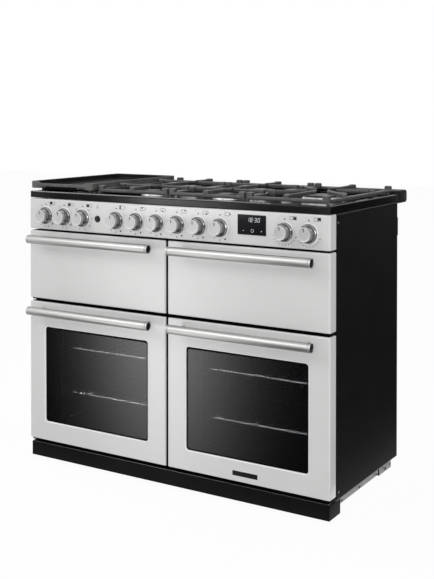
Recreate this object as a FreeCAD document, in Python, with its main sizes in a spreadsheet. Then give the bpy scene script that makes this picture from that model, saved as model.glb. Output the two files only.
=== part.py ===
# A free-standing range cooker: two side-opening ovens below, a glide-out grill and a proving drawer
# above them, a control panel with eleven knobs, and a six-burner gas hob with a griddle.
# Millimetres, +X to the cook's right, +Y to the wall, +Z up. The origin is on the floor, under the
# middle of the whole cooker.
import FreeCAD
import Part
import Sketcher
import math
import os

doc = FreeCAD.newDocument("RangeCooker")
sheet = doc.addObject("Spreadsheet::Sheet", "Dims")

# The driving dimensions
driving = {
    # whole cooker
    "cooker_width": 1092, "hob_depth": 575, "vent_depth": 77, "body_depth": 495, "floor_gap": 15,
    # fronts, from the floor up
    "plinth_height": 45, "plinth_space": 13, "lower_front_height": 455, "row_space": 10,
    "upper_front_height": 223, "panel_space": 6, "panel_height": 100, "hob_rim_height": 24,
    "front_thickness": 38, "front_sheet": 2, "front_round": 3, "centre_space": 8, "swing_space": 3.5,
    # sheet metal
    "side_sheet": 1.5, "side_inset": 1, "flange": 20, "frame_sheet": 2, "liner_sheet": 1.5, "pan_sheet": 2,
    "side_tab_low": 761, "side_tab_high": 817, "side_tab_reach": 5,
    # plinth, base and feet
    "plinth_inset": 4, "plinth_side": 3.5, "plinth_return": 72, "plinth_sheet": 2,
    "side_bottom": 62, "rail_height": 19, "rail_length": 348, "rail_hole": 3, "rail_hole_first": 75,
    "rail_hole_pitch": 124, "rail_hole_count": 3, "plinth_fit": 0.5,
    "bracket_start": 363, "bracket_length": 95, "bracket_height": 25, "cheek_sheet": 2.5,
    "roller_radius": 20, "roller_width": 22, "axle_radius": 4, "running_fit": 0.05, "side_play": 0.5,
    "roller_inset": 82, "roller_back": 430,
    "foot_radius": 18, "foot_height": 8, "stud_radius": 5, "foot_inset": 66, "foot_back": 100,
    # cavities
    "cavity_width": 420, "cavity_depth": 395, "oven_height": 390, "oven_floor": 32,
    "upper_height": 180, "upper_floor": 22, "seal_width": 8, "seal_offset": 7, "seal_fit": 0.3,
    # doors
    "window_side": 67.5, "window_bottom": 66, "window_top": 82, "window_lip": 2, "glass_lap": 12,
    "glass_sheet": 4, "inner_window_border": 80, "inner_sheet": 2, "inner_fit": 0.2,
    "hinge_edge": 12, "hinge_back": 14, "pin_radius": 4, "pin_reach": 18, "pin_hole": 6,
    "block_width": 20, "block_depth": 18, "block_height": 20, "bracket_plate": 4, "bracket_lift": 4,
    # handles
    "handle_reach": 60, "handle_radius": 13.3, "handle_edge": 33.3, "handle_inner": 30, "handle_drop": 10.2,
    "post_radius": 7, "post_inset": 30, "post_fit": 0.1, "collar_length": 9,
    "collar_groove": 1.2, "handle_round": 2.5,
    # control panel
    "knob_pitch": 76, "knob_height": 45, "burner_knob_first": -190, "left_knob_first": -476,
    "right_knob_first": 404, "button_place": -264, "clock_left": 251, "clock_width": 93, "clock_low": 30,
    "clock_height": 58, "clock_lap": 4, "clock_glass": 2, "clock_case_depth": 28,
    "knob_length": 31, "knob_base_radius": 28.5, "knob_skirt": 6, "knob_waist_radius": 21.5,
    "knob_face_radius": 24, "knob_face_depth": 7, "knob_edge": 1, "mark_length": 10, "mark_width": 2,
    "mark_depth": 0.6, "bezel_radius": 29.5, "bezel_depth": 2.5, "knob_space": 0.5, "spindle_radius": 4,
    "spindle_length": 16, "spindle_hole": 6, "tap_radius": 13, "tap_depth": 40, "tap_bore": 18,
    "gas_rail_radius": 9, "gas_rail_end": 30, "inlet_radius": 10.5, "inlet_reach": 26, "inlet_hole": 12,
    "button_radius": 8.5, "button_reach": 5, "button_inside": 4, "button_hole": 9, "button_stroke": 4,
    # hob
    "rim_width": 18, "well_depth": 12, "tray_sheet": 2, "burner_front": 150, "burner_rear": 371,
    "vent_rise": 10,
    "vent_drop": 6, "vent_round": 7, "vent_sheet": 2, "vent_slot_width": 6, "vent_slot_length": 40,
    "vent_slot_pitch": 26, "vent_slot_count": 36,
    "support_width": 270, "support_space": 2, "support_front": 25, "support_rear": 495, "support_edge": 16,
    "support_bar": 10, "support_bar_low": 17, "support_bar_high": 27, "support_top": 38, "support_post": 16,
    "support_post_depth": 14, "support_post_inset": 3, "support_foot_rear": 474,
    "finger_width": 8, "finger_low": 24, "finger_stop": 26, "pad_length": 26,
    "griddle_width": 255, "griddle_edge": 1, "griddle_front": 5, "griddle_rear": 478, "griddle_bottom": 21,
    "griddle_top": 44, "griddle_floor": 4, "griddle_wall": 6, "griddle_lip": 38, "griddle_notch_left": 34,
    "griddle_notch_right": 28, "griddle_notch_slope": 14, "griddle_round": 9, "griddle_foot": 7,
    "griddle_foot_inset": 30,
    "burner_radius": 38, "burner_base": 9, "burner_neck": 30, "burner_neck_height": 6, "burner_cap": 34,
    "burner_cap_height": 6, "cap_round": 2, "wok_radius": 58, "fish_width": 60, "fish_length": 260,
    "fish_base": 8, "fish_cap": 5, "fish_cap_edge": 5,
    # drawers
    "slide_rail_height": 30, "slide_rail_width": 11.5, "slide_rail_wall": 3, "slide_rail_low": 40,
    "slide_rail_length": 370, "slide_rail_front": 16, "slide_fit": 0.5, "runner_height": 20,
    "runner_length": 352, "runner_width": 16.5, "tray_low": 15, "tray_height": 140, "tray_wall": 1.5,
    "tray_length": 350, "grill_pan_height": 35, "grill_pan_edge": 5, "grill_bar": 10,
    # oven insides
    "guide_wire": 2.5, "guide_front": 30, "guide_rear": 350, "guide_first": 16, "guide_pitch": 75,
    "guide_count": 5, "guide_stand": 4, "rack_wire": 3, "rack_rod": 1.5, "rack_rod_pitch": 43,
    "rack_front": 85, "rack_rear": 355, "rack_lower_level": 1, "rack_upper_level": 3, "rack_seat": 0.05,
    "rack_inset": 2.2,
    "cover_depth": 36, "cover_width": 360, "cover_height": 330, "cover_sheet": 1.5, "cover_hole": 9,
    "cover_ring": 48, "cover_hole_count": 12, "fan_radius": 72, "fan_depth": 22, "fan_back_space": 5,
    "fan_hub": 14, "fan_disc": 1.5, "fan_blade_count": 10, "fan_shaft": 5, "fan_shaft_reach": 16,
    "shaft_hole": 8, "motor_radius": 38, "motor_length": 45, "ring_radius": 95, "element_radius": 4,
    "ring_stand": 14, "ring_ferrule": 5.5, "grill_loops": 6, "grill_loop_pitch": 56, "grill_run": 250,
    "grill_drop": 25,
    "grill_back": 40,
}
for row, (name, value) in enumerate(driving.items(), start=1):
    sheet.set(f"A{row}", name)
    sheet.set(f"B{row}", str(value))
    sheet.setAlias(f"B{row}", name)
doc.recompute()


class Length:
    """A length as an expression on the sheet, with the number that it has now."""

    def __init__(self, text, value):
        self.text = text
        self.value = value

    def _join(self, sign, other, value):
        return Length(f"({self.text} {sign} {other.text})", value)

    def __add__(self, other):
        other = length(other)
        return self._join("+", other, self.value + other.value)

    def __sub__(self, other):
        other = length(other)
        return self._join("-", other, self.value - other.value)

    def __mul__(self, other):
        other = length(other)
        return self._join("*", other, self.value * other.value)

    def __truediv__(self, other):
        other = length(other)
        return self._join("/", other, self.value / other.value)

    def __radd__(self, other):
        return length(other) + self

    def __rsub__(self, other):
        return length(other) - self

    def __rmul__(self, other):
        return length(other) * self

    def __neg__(self):
        return length(0) - self

    def root(self):
        return Length(f"sqrt({self.text})", math.sqrt(self.value))


def length(value):
    return value if isinstance(value, Length) else Length(repr(float(value)), float(value))


class Sizes:
    """Gives each driving dimension of the sheet by its name."""

    def __getattr__(self, name):
        return Length(f"Dims.{name}", float(sheet.get(name)))


d = Sizes()

# Places that follow from the driving dimensions
half = d.cooker_width / 2
front = (d.handle_reach - d.hob_depth) / 2
front_back = front + d.front_thickness
hinge_sweep = (d.hinge_edge * d.hinge_edge + d.hinge_back * d.hinge_back).root()
frame_front = front_back + hinge_sweep - d.hinge_back + d.swing_space
frame_back = frame_front + d.frame_sheet
body_back = front + d.body_depth
hob_back = front + d.hob_depth - d.vent_depth
vent_back = front + d.hob_depth

plinth_top = d.floor_gap + d.plinth_height
lower_low = plinth_top + d.plinth_space
lower_high = lower_low + d.lower_front_height
upper_low = lower_high + d.row_space
upper_high = upper_low + d.upper_front_height
panel_low = upper_high + d.panel_space
panel_high = panel_low + d.panel_height
rim_top = panel_high + d.hob_rim_height
well_floor = rim_top - d.well_depth

front_centre = (half + d.centre_space / 2) / 2
side_out = half - d.side_inset
side_in = side_out - d.side_sheet
oven_low = lower_low + d.oven_floor
oven_high = oven_low + d.oven_height
cavity_low = upper_low + d.upper_floor
cavity_high = cavity_low + d.upper_height
cavity_back = frame_back + d.cavity_depth
cavity_half = d.cavity_width / 2
knob_level = panel_low + d.knob_height

nodes = []


def finish(thing, label):
    """Gives a finished sub-part its name, and puts it on the list to write."""
    thing.Label = label
    nodes.append(thing)
    return thing


def bind(thing, name, size):
    thing.setExpression(name, length(size).text)


def place(thing, at):
    for axis, size in zip("xyz", at):
        bind(thing, f"Placement.Base.{axis}", size)
    return thing


def box(low, high):
    """A block from its lowest corner to its highest."""
    thing = doc.addObject("Part::Box", "Block")
    for name, a, b in zip(("Length", "Width", "Height"), low, high):
        bind(thing, name, length(b) - a)
    return place(thing, low)


TURNS = {
    "x": FreeCAD.Rotation(FreeCAD.Vector(0, 1, 0), 90),
    "y": FreeCAD.Rotation(FreeCAD.Vector(1, 0, 0), -90),
    "z": FreeCAD.Rotation(),
}


def rod(axis, start, radius, reach):
    """A round bar from its start along an axis."""
    thing = doc.addObject("Part::Cylinder", "Rod")
    thing.Placement = FreeCAD.Placement(FreeCAD.Vector(), TURNS[axis])
    bind(thing, "Radius", radius)
    bind(thing, "Height", reach)
    return place(thing, start)


def together(things):
    """Several separate solids as one object."""
    if len(things) == 1:
        return things[0]
    thing = doc.addObject("Part::Compound", "Set")
    thing.Links = things
    return thing


def joined(things):
    """Several solids that meet, made one."""
    thing = doc.addObject("Part::MultiFuse", "Joined")
    thing.Shapes = things
    thing.Refine = True
    return thing


def cut(base, *tools):
    thing = doc.addObject("Part::Cut", "Cut")
    thing.Base = base
    thing.Tool = together(list(tools))
    return thing


def shaped(shape):
    """A solid that Part's own functions made."""
    thing = doc.addObject("Part::Feature", "Shaped")
    thing.Shape = shape
    thing.Placement = FreeCAD.Placement()
    return thing


class Circle:
    def __init__(self, x, y, radius):
        self.x, self.y, self.radius = length(x), length(y), length(radius)


def rectangle(x0, y0, x1, y1):
    return [(x0, y0), (x1, y0), (x1, y1), (x0, y1)]


def hold(sketch, kind, geometry, point, size):
    size = length(size)
    index = sketch.addConstraint(Sketcher.Constraint(kind, -1, 1, geometry, point, size.value))
    sketch.setExpression(f"Constraints[{index}]", size.text)


def draw(sketch, loop):
    """Adds a closed outline, each of whose points is held by sizes from the origin, or a circle."""
    first = sketch.GeometryCount
    if isinstance(loop, Circle):
        centre = FreeCAD.Vector(loop.x.value, loop.y.value, 0)
        sketch.addGeometry(Part.Circle(centre, FreeCAD.Vector(0, 0, 1), loop.radius.value), False)
        hold(sketch, "DistanceX", first, 3, loop.x)
        hold(sketch, "DistanceY", first, 3, loop.y)
        index = sketch.addConstraint(Sketcher.Constraint("Radius", first, loop.radius.value))
        sketch.setExpression(f"Constraints[{index}]", loop.radius.text)
        return
    points = [(length(x), length(y)) for x, y in loop]
    corners = [FreeCAD.Vector(x.value, y.value, 0) for x, y in points]
    count = len(points)
    for i in range(count):
        sketch.addGeometry(Part.LineSegment(corners[i], corners[(i + 1) % count]), False)
    for i in range(count):
        sketch.addConstraint(Sketcher.Constraint("Coincident", first + i, 2, first + (i + 1) % count, 1))
    for i, (x, y) in enumerate(points):
        hold(sketch, "DistanceX", first + i, 1, x)
        hold(sketch, "DistanceY", first + i, 1, y)


# Each plane's outward side: +Z, -Y and +X
PLANE_SIGN = {"XY_Plane": 1, "XZ_Plane": -1, "YZ_Plane": 1}


def new_body():
    return doc.addObject("PartDesign::Body", "Body")


def sketch_on(body, plane, loops, offset=0):
    sketch = body.newObject("Sketcher::SketchObject", "Sketch")
    support = next(f for f in body.Origin.OriginFeatures if f.Role == plane)
    sketch.AttachmentSupport = [(support, "")]
    sketch.MapMode = "FlatFace"
    bind(sketch, "AttachmentOffset.Base.z", length(offset) * PLANE_SIGN[plane])
    for loop in loops:
        draw(sketch, loop)
    return sketch


def pad(body, plane, loops, start, end):
    """Adds the outlines' solid between two places along the plane's axis."""
    feature = body.newObject("PartDesign::Pad", "Pad")
    feature.Profile = sketch_on(body, plane, loops, start)
    feature.Reversed = PLANE_SIGN[plane] < 0
    bind(feature, "Length", length(end) - start)
    return feature


def pocket(body, plane, loops, start, end):
    """Takes the outlines' solid away between two places along the plane's axis."""
    feature = body.newObject("PartDesign::Pocket", "Pocket")
    feature.Profile = sketch_on(body, plane, loops, start)
    feature.Reversed = PLANE_SIGN[plane] > 0
    bind(feature, "Length", length(end) - start)
    return feature


def turned(body, outline):
    """Turns an outline of (radius, height) points about the body's Z axis."""
    feature = body.newObject("PartDesign::Revolution", "Turned")
    sketch = sketch_on(body, "XZ_Plane", [outline])
    feature.Profile = sketch
    feature.ReferenceAxis = (sketch, ["V_Axis"])
    feature.Angle = 360
    return feature


def rounded(body, base, radius, wanted):
    """Rounds the edges of a feature whose points all pass a test."""
    doc.recompute()
    feature = body.newObject("PartDesign::Fillet", "Round")
    edges = [
        f"Edge{i}" for i, edge in enumerate(base.Shape.Edges, start=1) if wanted(edge.discretize(3))
    ]
    feature.Base = (base, edges)
    bind(feature, "Radius", radius)
    return feature


def near(a, b):
    return abs(a - b) < 1e-4


def mirrored_pair(make):
    """Makes a piece on the left and on the right."""
    return [make(-1), make(1)]


# Base, plinth and feet

def base_frame():
    """The floor pan with a skirt down each side, which the holes are in, and one across the front."""
    rail_out = half - d.plinth_side - d.plinth_sheet - d.plinth_fit
    rail_low = d.side_bottom - d.pan_sheet - d.rail_height
    pan_low = d.side_bottom - d.pan_sheet
    skirt_front = front + d.plinth_inset + d.plinth_sheet + d.plinth_fit
    skirt_back = skirt_front + d.rail_length
    pan = box((-side_out, frame_front, pan_low), (side_out, body_back, d.side_bottom))
    shelf = box((-rail_out, skirt_front, pan_low), (rail_out, frame_front, d.side_bottom))
    pieces = [pan, shelf]
    for side in (-1, 1):
        low_x, high_x = sorted((rail_out * side, (rail_out - d.pan_sheet) * side), key=lambda s: s.value)
        skirt = box((low_x, skirt_front, rail_low), (high_x, skirt_back, pan_low))
        level = rail_low + d.rail_height / 2
        holes = [
            rod("x", (low_x - 1, skirt_front + d.rail_hole_first + d.rail_hole_pitch * i, level),
                d.rail_hole, d.pan_sheet + 2)
            for i in range(int(d.rail_hole_count.value))
        ]
        pieces.append(cut(skirt, *holes))
    inner = rail_out - d.pan_sheet
    pieces.append(box((-inner, skirt_front, rail_low), (inner, skirt_front + d.pan_sheet, pan_low)))
    return finish(joined(pieces), "base_frame")


def plinth():
    body = new_body()
    out = half - d.plinth_side
    inner = out - d.plinth_sheet
    face = front + d.plinth_inset
    back = face + d.plinth_return
    outline = [
        (-out, face), (out, face), (out, back), (inner, back), (inner, face + d.plinth_sheet),
        (-inner, face + d.plinth_sheet), (-inner, back), (-out, back),
    ]
    pad(body, "XY_Plane", [outline], d.floor_gap, plinth_top)
    return finish(body, "plinth")


def front_feet():
    def foot(side):
        body = new_body()
        pan_low = d.side_bottom - d.pan_sheet
        outline = [
            (0, 0), (d.foot_radius, 0), (d.foot_radius, d.foot_height), (d.stud_radius, d.foot_height),
            (d.stud_radius, pan_low), (0, pan_low),
        ]
        turned(body, outline)
        return place(body, ((half - d.foot_inset) * side, front + d.foot_back, 0))

    return finish(together(mirrored_pair(foot)), "front_feet")


def roller_brackets():
    """Each bracket hangs from the pan: a cheek on the skirt's line, and two that carry the axle."""
    start = front + d.bracket_start
    end = start + d.bracket_length
    pan_low = d.side_bottom - d.pan_sheet
    outer_low = pan_low - d.bracket_height
    axle_low = d.roller_radius - d.axle_radius * 2
    lug = d.roller_radius * 0.75

    def bracket(side):
        out = half - d.plinth_side - d.plinth_sheet - d.plinth_fit
        inside = half - d.roller_inset - d.roller_width / 2 - d.side_play
        outside = half - d.roller_inset + d.roller_width / 2 + d.side_play

        def plate(x, y0, y1, z):
            low_x, high_x = sorted((x * side, (x + d.cheek_sheet) * side), key=lambda s: s.value)
            return box((low_x, y0, z), (high_x, y1, pan_low - d.cheek_sheet))

        web_x = sorted((out * side, (inside - d.cheek_sheet) * side), key=lambda s: s.value)
        axle = front + d.roller_back
        web = box((web_x[0], start, pan_low - d.cheek_sheet), (web_x[1], end, pan_low))
        cheeks = [
            plate(out - d.cheek_sheet, start, end, outer_low),
            plate(outside, axle - lug, axle + lug, axle_low),
            plate(inside - d.cheek_sheet, axle - lug, axle + lug, axle_low),
        ]
        ends = ((inside - d.cheek_sheet) * side, (outside + d.cheek_sheet) * side)
        hole_start = min(ends, key=lambda s: s.value)
        bore = rod("x", (hole_start - 1, axle, d.roller_radius), d.axle_radius + d.running_fit,
                   outside - inside + d.cheek_sheet * 2 + 2)
        return cut(joined([web] + cheeks), bore)

    return finish(together(mirrored_pair(bracket)), "roller_brackets")


def rear_rollers():
    def roller(side):
        body = new_body()
        middle = d.roller_width / 2
        end = middle + d.side_play + d.cheek_sheet
        outline = [
            (0, -end), (d.axle_radius, -end), (d.axle_radius, -middle), (d.roller_radius, -middle),
            (d.roller_radius, middle), (d.axle_radius, middle), (d.axle_radius, end), (0, end),
        ]
        turned(body, outline)
        body.Placement = FreeCAD.Placement(FreeCAD.Vector(), TURNS["x"])
        return place(body, ((half - d.roller_inset) * side, front + d.roller_back, d.roller_radius))

    return finish(together(mirrored_pair(roller)), "rear_rollers")


# Casing

def side_panel(side, label):
    """A sheet with a folded edge at the front and at the back, and a small tab on its rear edge."""
    body = new_body()
    fold = side_in - d.flange
    outline = [
        (side_out, frame_front), (side_out, body_back), (fold, body_back), (fold, body_back - d.side_sheet),
        (side_in, body_back - d.side_sheet), (side_in, frame_back + d.side_sheet),
        (fold, frame_back + d.side_sheet), (fold, frame_back), (side_in, frame_back), (side_in, frame_front),
    ]
    pad(body, "XY_Plane", [[(x * side, y) for x, y in outline]], d.side_bottom, panel_high)
    tab = rectangle(side_in * side, body_back - d.side_sheet, side_out * side, body_back + d.side_tab_reach)
    pad(body, "XY_Plane", [tab], d.side_tab_low, d.side_tab_high)
    return finish(body, label)


def inlet_place():
    """Where the gas pipe runs back, just past the last gas tap."""
    return d.burner_knob_first - d.gas_rail_end


def back_panel():
    body = new_body()
    back = body_back - d.side_sheet
    outline = rectangle(-side_in + d.inner_fit, d.side_bottom, side_in - d.inner_fit, panel_high)
    pad(body, "XZ_Plane", [outline], back - d.side_sheet, back)
    pocket(body, "XZ_Plane", [Circle(inlet_place(), knob_level, d.inlet_hole)], back - d.side_sheet, back)
    return finish(body, "back_panel")


def front_frame():
    """The black frame behind the fronts, open at each of the four cavities."""
    body = new_body()
    edge = side_in - d.inner_fit
    loops = [rectangle(-edge, d.side_bottom, edge, panel_low)]
    for side in (-1, 1):
        for low, high in ((oven_low, oven_high), (cavity_low, cavity_high)):
            middle = front_centre * side
            loops.append(rectangle(middle - cavity_half, low, middle + cavity_half, high))
    pad(body, "XZ_Plane", loops, frame_front, frame_back)
    return finish(body, "front_frame")


def liner(side, low, high, shaft):
    """An enamelled box that is open at the front, with a hole for the fan's shaft if it has one."""
    middle = front_centre * side
    wall = d.liner_sheet
    shell = box((middle - cavity_half - wall, frame_back, low - wall),
                (middle + cavity_half + wall, cavity_back + wall, high + wall))
    inside = box((middle - cavity_half, frame_back, low), (middle + cavity_half, cavity_back, high))
    if not shaft:
        return cut(shell, inside)
    hole = rod("y", (middle, cavity_back, (low + high) / 2), d.shaft_hole, wall)
    return cut(shell, inside, hole)


def liners():
    ovens = mirrored_pair(lambda side: liner(side, oven_low, oven_high, True))
    finish(together(ovens), "oven_liners")
    uppers = mirrored_pair(lambda side: liner(side, cavity_low, cavity_high, False))
    finish(together(uppers), "upper_liners")


# Fronts

def rounded_front(body, first_x, last_x, low, high):
    """A folded front: a block with soft edges, open at the back."""
    block = pad(body, "XZ_Plane", [rectangle(first_x, low, last_x, high)], front, front_back)
    rounded(body, block, d.front_round, lambda points: all(near(p.y, front.value) for p in points))
    sheet_in = d.front_sheet
    inside = rectangle(first_x + sheet_in, low + sheet_in, last_x - sheet_in, high - sheet_in)
    return inside


def front_edges(side):
    inner, outer = d.centre_space / 2, half
    return (inner, outer) if side > 0 else (-outer, -inner)


def drawer_front(side, label):
    body = new_body()
    first_x, last_x = front_edges(side)
    inside = rounded_front(body, first_x, last_x, upper_low, upper_high)
    pocket(body, "XZ_Plane", [inside], front + d.front_sheet, front_back)
    return finish(body, label)


def window_edges(side):
    first_x, last_x = front_edges(side)
    return (first_x + d.window_side, lower_low + d.window_bottom,
            last_x - d.window_side, lower_high - d.window_top)


def grown(edges, by):
    x0, z0, x1, z1 = edges
    return rectangle(x0 - by, z0 - by, x1 + by, z1 + by)


def hinge_axis(side):
    return (half - d.hinge_edge) * side, front_back - d.hinge_back


def door_front(side, label):
    """The white front of an oven door, with a lip round its window and a hole for each hinge pin."""
    body = new_body()
    first_x, last_x = front_edges(side)
    inside = rounded_front(body, first_x, last_x, lower_low, lower_high)
    window = window_edges(side)
    lip_back = front + d.front_sheet + d.window_lip
    pocket(body, "XZ_Plane", [inside], lip_back, front_back)
    pocket(body, "XZ_Plane", [inside, grown(window, d.window_lip)], front + d.front_sheet, lip_back)
    pocket(body, "XZ_Plane", [grown(window, 0)], front, lip_back)
    axis_x, axis_y = hinge_axis(side)
    for low in (lower_low, lower_high - d.front_sheet):
        pocket(body, "XY_Plane", [Circle(axis_x, axis_y, d.pin_hole)], low, low + d.front_sheet)
    return finish(body, label)


def door_glass(side, label):
    """An outer pane behind the front's lip, and an inner pane in front of the inner panel."""
    window = window_edges(side)
    x0, z0, x1, z1 = window
    lip_back = front + d.front_sheet + d.window_lip
    inner_back = front_back - d.inner_sheet
    panes = [
        box((x0 - d.glass_lap, start, z0 - d.glass_lap),
            (x1 + d.glass_lap, start + d.glass_sheet, z1 + d.glass_lap))
        for start in (lip_back, inner_back - d.glass_sheet)
    ]
    return finish(together(panes), label)


def door_inner(side, label):
    """The panel that closes the door's back, and the blocks that turn on the hinge pins."""
    first_x, last_x = front_edges(side)
    gap = d.front_sheet + d.inner_fit
    edge = d.inner_window_border
    body = new_body()
    outline = rectangle(first_x + gap, lower_low + gap, last_x - gap, lower_high - gap)
    opening = rectangle(first_x + edge, lower_low + edge, last_x - edge, lower_high - edge)
    pad(body, "XZ_Plane", [outline, opening], front_back - d.inner_sheet, front_back)
    axis_x, axis_y = hinge_axis(side)
    blocks = []
    for low in (lower_low + d.front_sheet, lower_high - d.front_sheet - d.block_height):
        outer_x = axis_x + (d.hinge_edge - gap) * side
        inner_x = axis_x - d.block_width * side
        low_x, high_x = sorted((outer_x, inner_x), key=lambda s: s.value)
        deep = d.block_depth / 2
        block = box((low_x, axis_y - deep, low), (high_x, axis_y + deep, low + d.block_height))
        bore = rod("z", (axis_x, axis_y, low), d.pin_radius + d.running_fit, d.block_height)
        blocks.append(cut(block, bore))
    return finish(together([body] + blocks), label)


def hinge_brackets():
    """A plate above and below each oven door, with the pin that the door turns on."""
    pieces = []
    for side in (-1, 1):
        axis_x, axis_y = hinge_axis(side)
        tip = d.hinge_edge - d.side_inset
        low_x, high_x = sorted((axis_x + tip * side, axis_x - d.block_width * side), key=lambda s: s.value)
        for door_edge, way in ((lower_low, -1), (lower_high, 1)):
            near_z = door_edge + d.bracket_lift * way
            far_z = near_z + d.bracket_plate * way
            z0, z1 = sorted((near_z, far_z), key=lambda s: s.value)
            plate = box((low_x, axis_y - d.hinge_edge, z0), (high_x, frame_front, z1))
            pin_low = near_z if way < 0 else near_z - d.pin_reach
            pin = rod("z", (axis_x, axis_y, pin_low), d.pin_radius, d.pin_reach)
            pieces.append(joined([plate, pin]))
    return finish(together(pieces), "hinge_brackets")


def door_seals():
    def seal(side):
        body = new_body()
        middle = front_centre * side
        inner = (middle - cavity_half, oven_low, middle + cavity_half, oven_high)
        loops = [grown(inner, d.seal_offset + d.seal_width), grown(inner, d.seal_offset)]
        pad(body, "XZ_Plane", loops, front_back + d.seal_fit, frame_front)
        return body

    return finish(together(mirrored_pair(seal)), "door_seals")


def handle(side, top, label):
    """A round bar with a collar groove near each end, on two posts that end on the front."""
    first_x, last_x = front_edges(side)
    outer_gap, inner_gap = d.handle_edge, d.handle_inner
    start = first_x + (inner_gap if side > 0 else outer_gap)
    end = last_x - (outer_gap if side > 0 else inner_gap)
    reach = end - start
    level = top - d.handle_drop - d.handle_radius
    line = front - d.handle_reach + d.handle_radius
    groove = d.handle_radius - d.collar_groove / 2
    edge = d.handle_radius - d.handle_round
    bar = new_body()
    outline = [
        (0, 0), (edge, 0), (d.handle_radius, d.handle_round), (d.handle_radius, d.collar_length),
        (groove, d.collar_length), (groove, d.collar_length + d.collar_groove),
        (d.handle_radius, d.collar_length + d.collar_groove),
        (d.handle_radius, reach - d.collar_length - d.collar_groove),
        (groove, reach - d.collar_length - d.collar_groove), (groove, reach - d.collar_length),
        (d.handle_radius, reach - d.collar_length), (d.handle_radius, reach - d.handle_round),
        (edge, reach), (0, reach),
    ]
    turned(bar, outline)
    bar.Placement = FreeCAD.Placement(FreeCAD.Vector(), TURNS["x"])
    place(bar, (start, line, level))
    posts = []
    for x in (start + d.post_inset, end - d.post_inset):
        post = rod("y", (x, line, level), d.post_radius, front - line)
        clear = rod("x", (x - d.post_radius * 2, line, level), d.handle_radius + d.post_fit,
                    d.post_radius * 4)
        posts.append(cut(post, clear))
    return finish(together([bar] + posts), label)


# Drawers

def slide_rails():
    """Fixed rails on the side walls of both upper cavities, each with a groove for a runner."""
    rails = []
    low = cavity_low + d.slide_rail_low
    start = frame_back + d.slide_rail_front
    for side in (-1, 1):
        for wall in (-1, 1):
            edge = front_centre * side + cavity_half * wall
            inner = edge - d.slide_rail_width * wall
            groove_edge = edge - d.slide_rail_wall * wall
            x0, x1 = sorted((edge, inner), key=lambda s: s.value)
            g0, g1 = sorted((groove_edge, inner), key=lambda s: s.value)
            rail = box((x0, start, low), (x1, start + d.slide_rail_length, low + d.slide_rail_height))
            lip = (d.slide_rail_height - d.runner_height) / 2 - d.slide_fit
            groove = box((g0, start, low + lip),
                         (g1, start + d.slide_rail_length, low + d.slide_rail_height - lip))
            rails.append(cut(rail, groove))
    return finish(together(rails), "drawer_rails")


def runners(side):
    """The two runners that slide in a cavity's rails."""
    pieces = []
    low = cavity_low + d.slide_rail_low + (d.slide_rail_height - d.runner_height) / 2
    for wall in (-1, 1):
        edge = front_centre * side + (cavity_half - d.slide_rail_wall - d.slide_fit) * wall
        inner = edge - d.runner_width * wall
        x0, x1 = sorted((edge, inner), key=lambda s: s.value)
        pieces.append(box((x0, front_back - d.inner_sheet, low),
                          (x1, frame_back + d.runner_length, low + d.runner_height)))
    return pieces


def back_plate(side):
    """The plate that closes a drawer front's back."""
    first_x, last_x = front_edges(side)
    gap = d.front_sheet + d.inner_fit
    return box((first_x + gap, front_back - d.inner_sheet, upper_low + gap),
               (last_x - gap, front_back, upper_high - gap))


def tray_half():
    return cavity_half - d.slide_rail_wall - d.slide_fit - d.runner_width


def drawer_tray():
    """The proving drawer: an open tray between its runners, on the plate behind its front."""
    middle = front_centre
    low = cavity_low + d.tray_low
    outer = tray_half() + d.tray_wall
    block = box((middle - outer, front_back - d.inner_sheet, low),
                (middle + outer, frame_back + d.tray_length, low + d.tray_height))
    wall = d.tray_wall
    inside = box((middle - outer + wall, front_back, low + wall),
                 (middle + outer - wall, frame_back + d.tray_length - wall, low + d.tray_height))
    return finish(cut(joined([back_plate(1), block] + runners(1)), inside), "drawer_tray")


def grill_parts():
    """The grill's carriage with two cross bars, and the pan that stands on them."""
    middle = -front_centre
    low = cavity_low + d.slide_rail_low + (d.slide_rail_height - d.runner_height) / 2
    bars = []
    for y in (frame_back + d.grill_back, frame_back + d.runner_length - d.grill_back):
        reach = tray_half() + 1
        bars.append(box((middle - reach, y, low), (middle + reach, y + d.grill_bar, low + d.grill_bar)))
    finish(joined([back_plate(-1)] + runners(-1) + bars), "grill_carriage")
    half_width = tray_half() - d.grill_pan_edge
    start, end = frame_back + d.grill_back / 2, frame_back + d.runner_length
    floor = low + d.grill_bar
    shell = box((middle - half_width, start, floor), (middle + half_width, end, floor + d.grill_pan_height))
    wall = d.tray_wall
    inside = box((middle - half_width + wall, start + wall, floor + wall),
                 (middle + half_width - wall, end - wall, floor + d.grill_pan_height))
    return finish(cut(shell, inside), "grill_pan")


# Control panel

def knob_places():
    """Where the knobs stand, from the left: three for the left side, six burners, two for the right."""
    left = [d.left_knob_first + d.knob_pitch * i for i in range(3)]
    burners = [d.burner_knob_first + d.knob_pitch * i for i in range(6)]
    right = [d.right_knob_first + d.knob_pitch * i for i in range(2)]
    return left, burners, right


def clock_edges(grow):
    low = panel_low + d.clock_low
    return (d.clock_left - grow, low - grow, d.clock_left + d.clock_width + grow, low + d.clock_height + grow)


def control_panel():
    body = new_body()
    inside = rounded_front(body, -half, half, panel_low, panel_high)
    pocket(body, "XZ_Plane", [inside], front + d.front_sheet, front_back)
    left, burners, right = knob_places()
    holes = [Circle(x, knob_level, d.spindle_hole) for x in left + burners + right]
    holes.append(Circle(d.button_place, knob_level, d.button_hole))
    holes.append(rectangle(*clock_edges(-d.clock_lap)))
    pocket(body, "XZ_Plane", holes, front, front + d.front_sheet)
    return finish(body, "control_panel")


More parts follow.
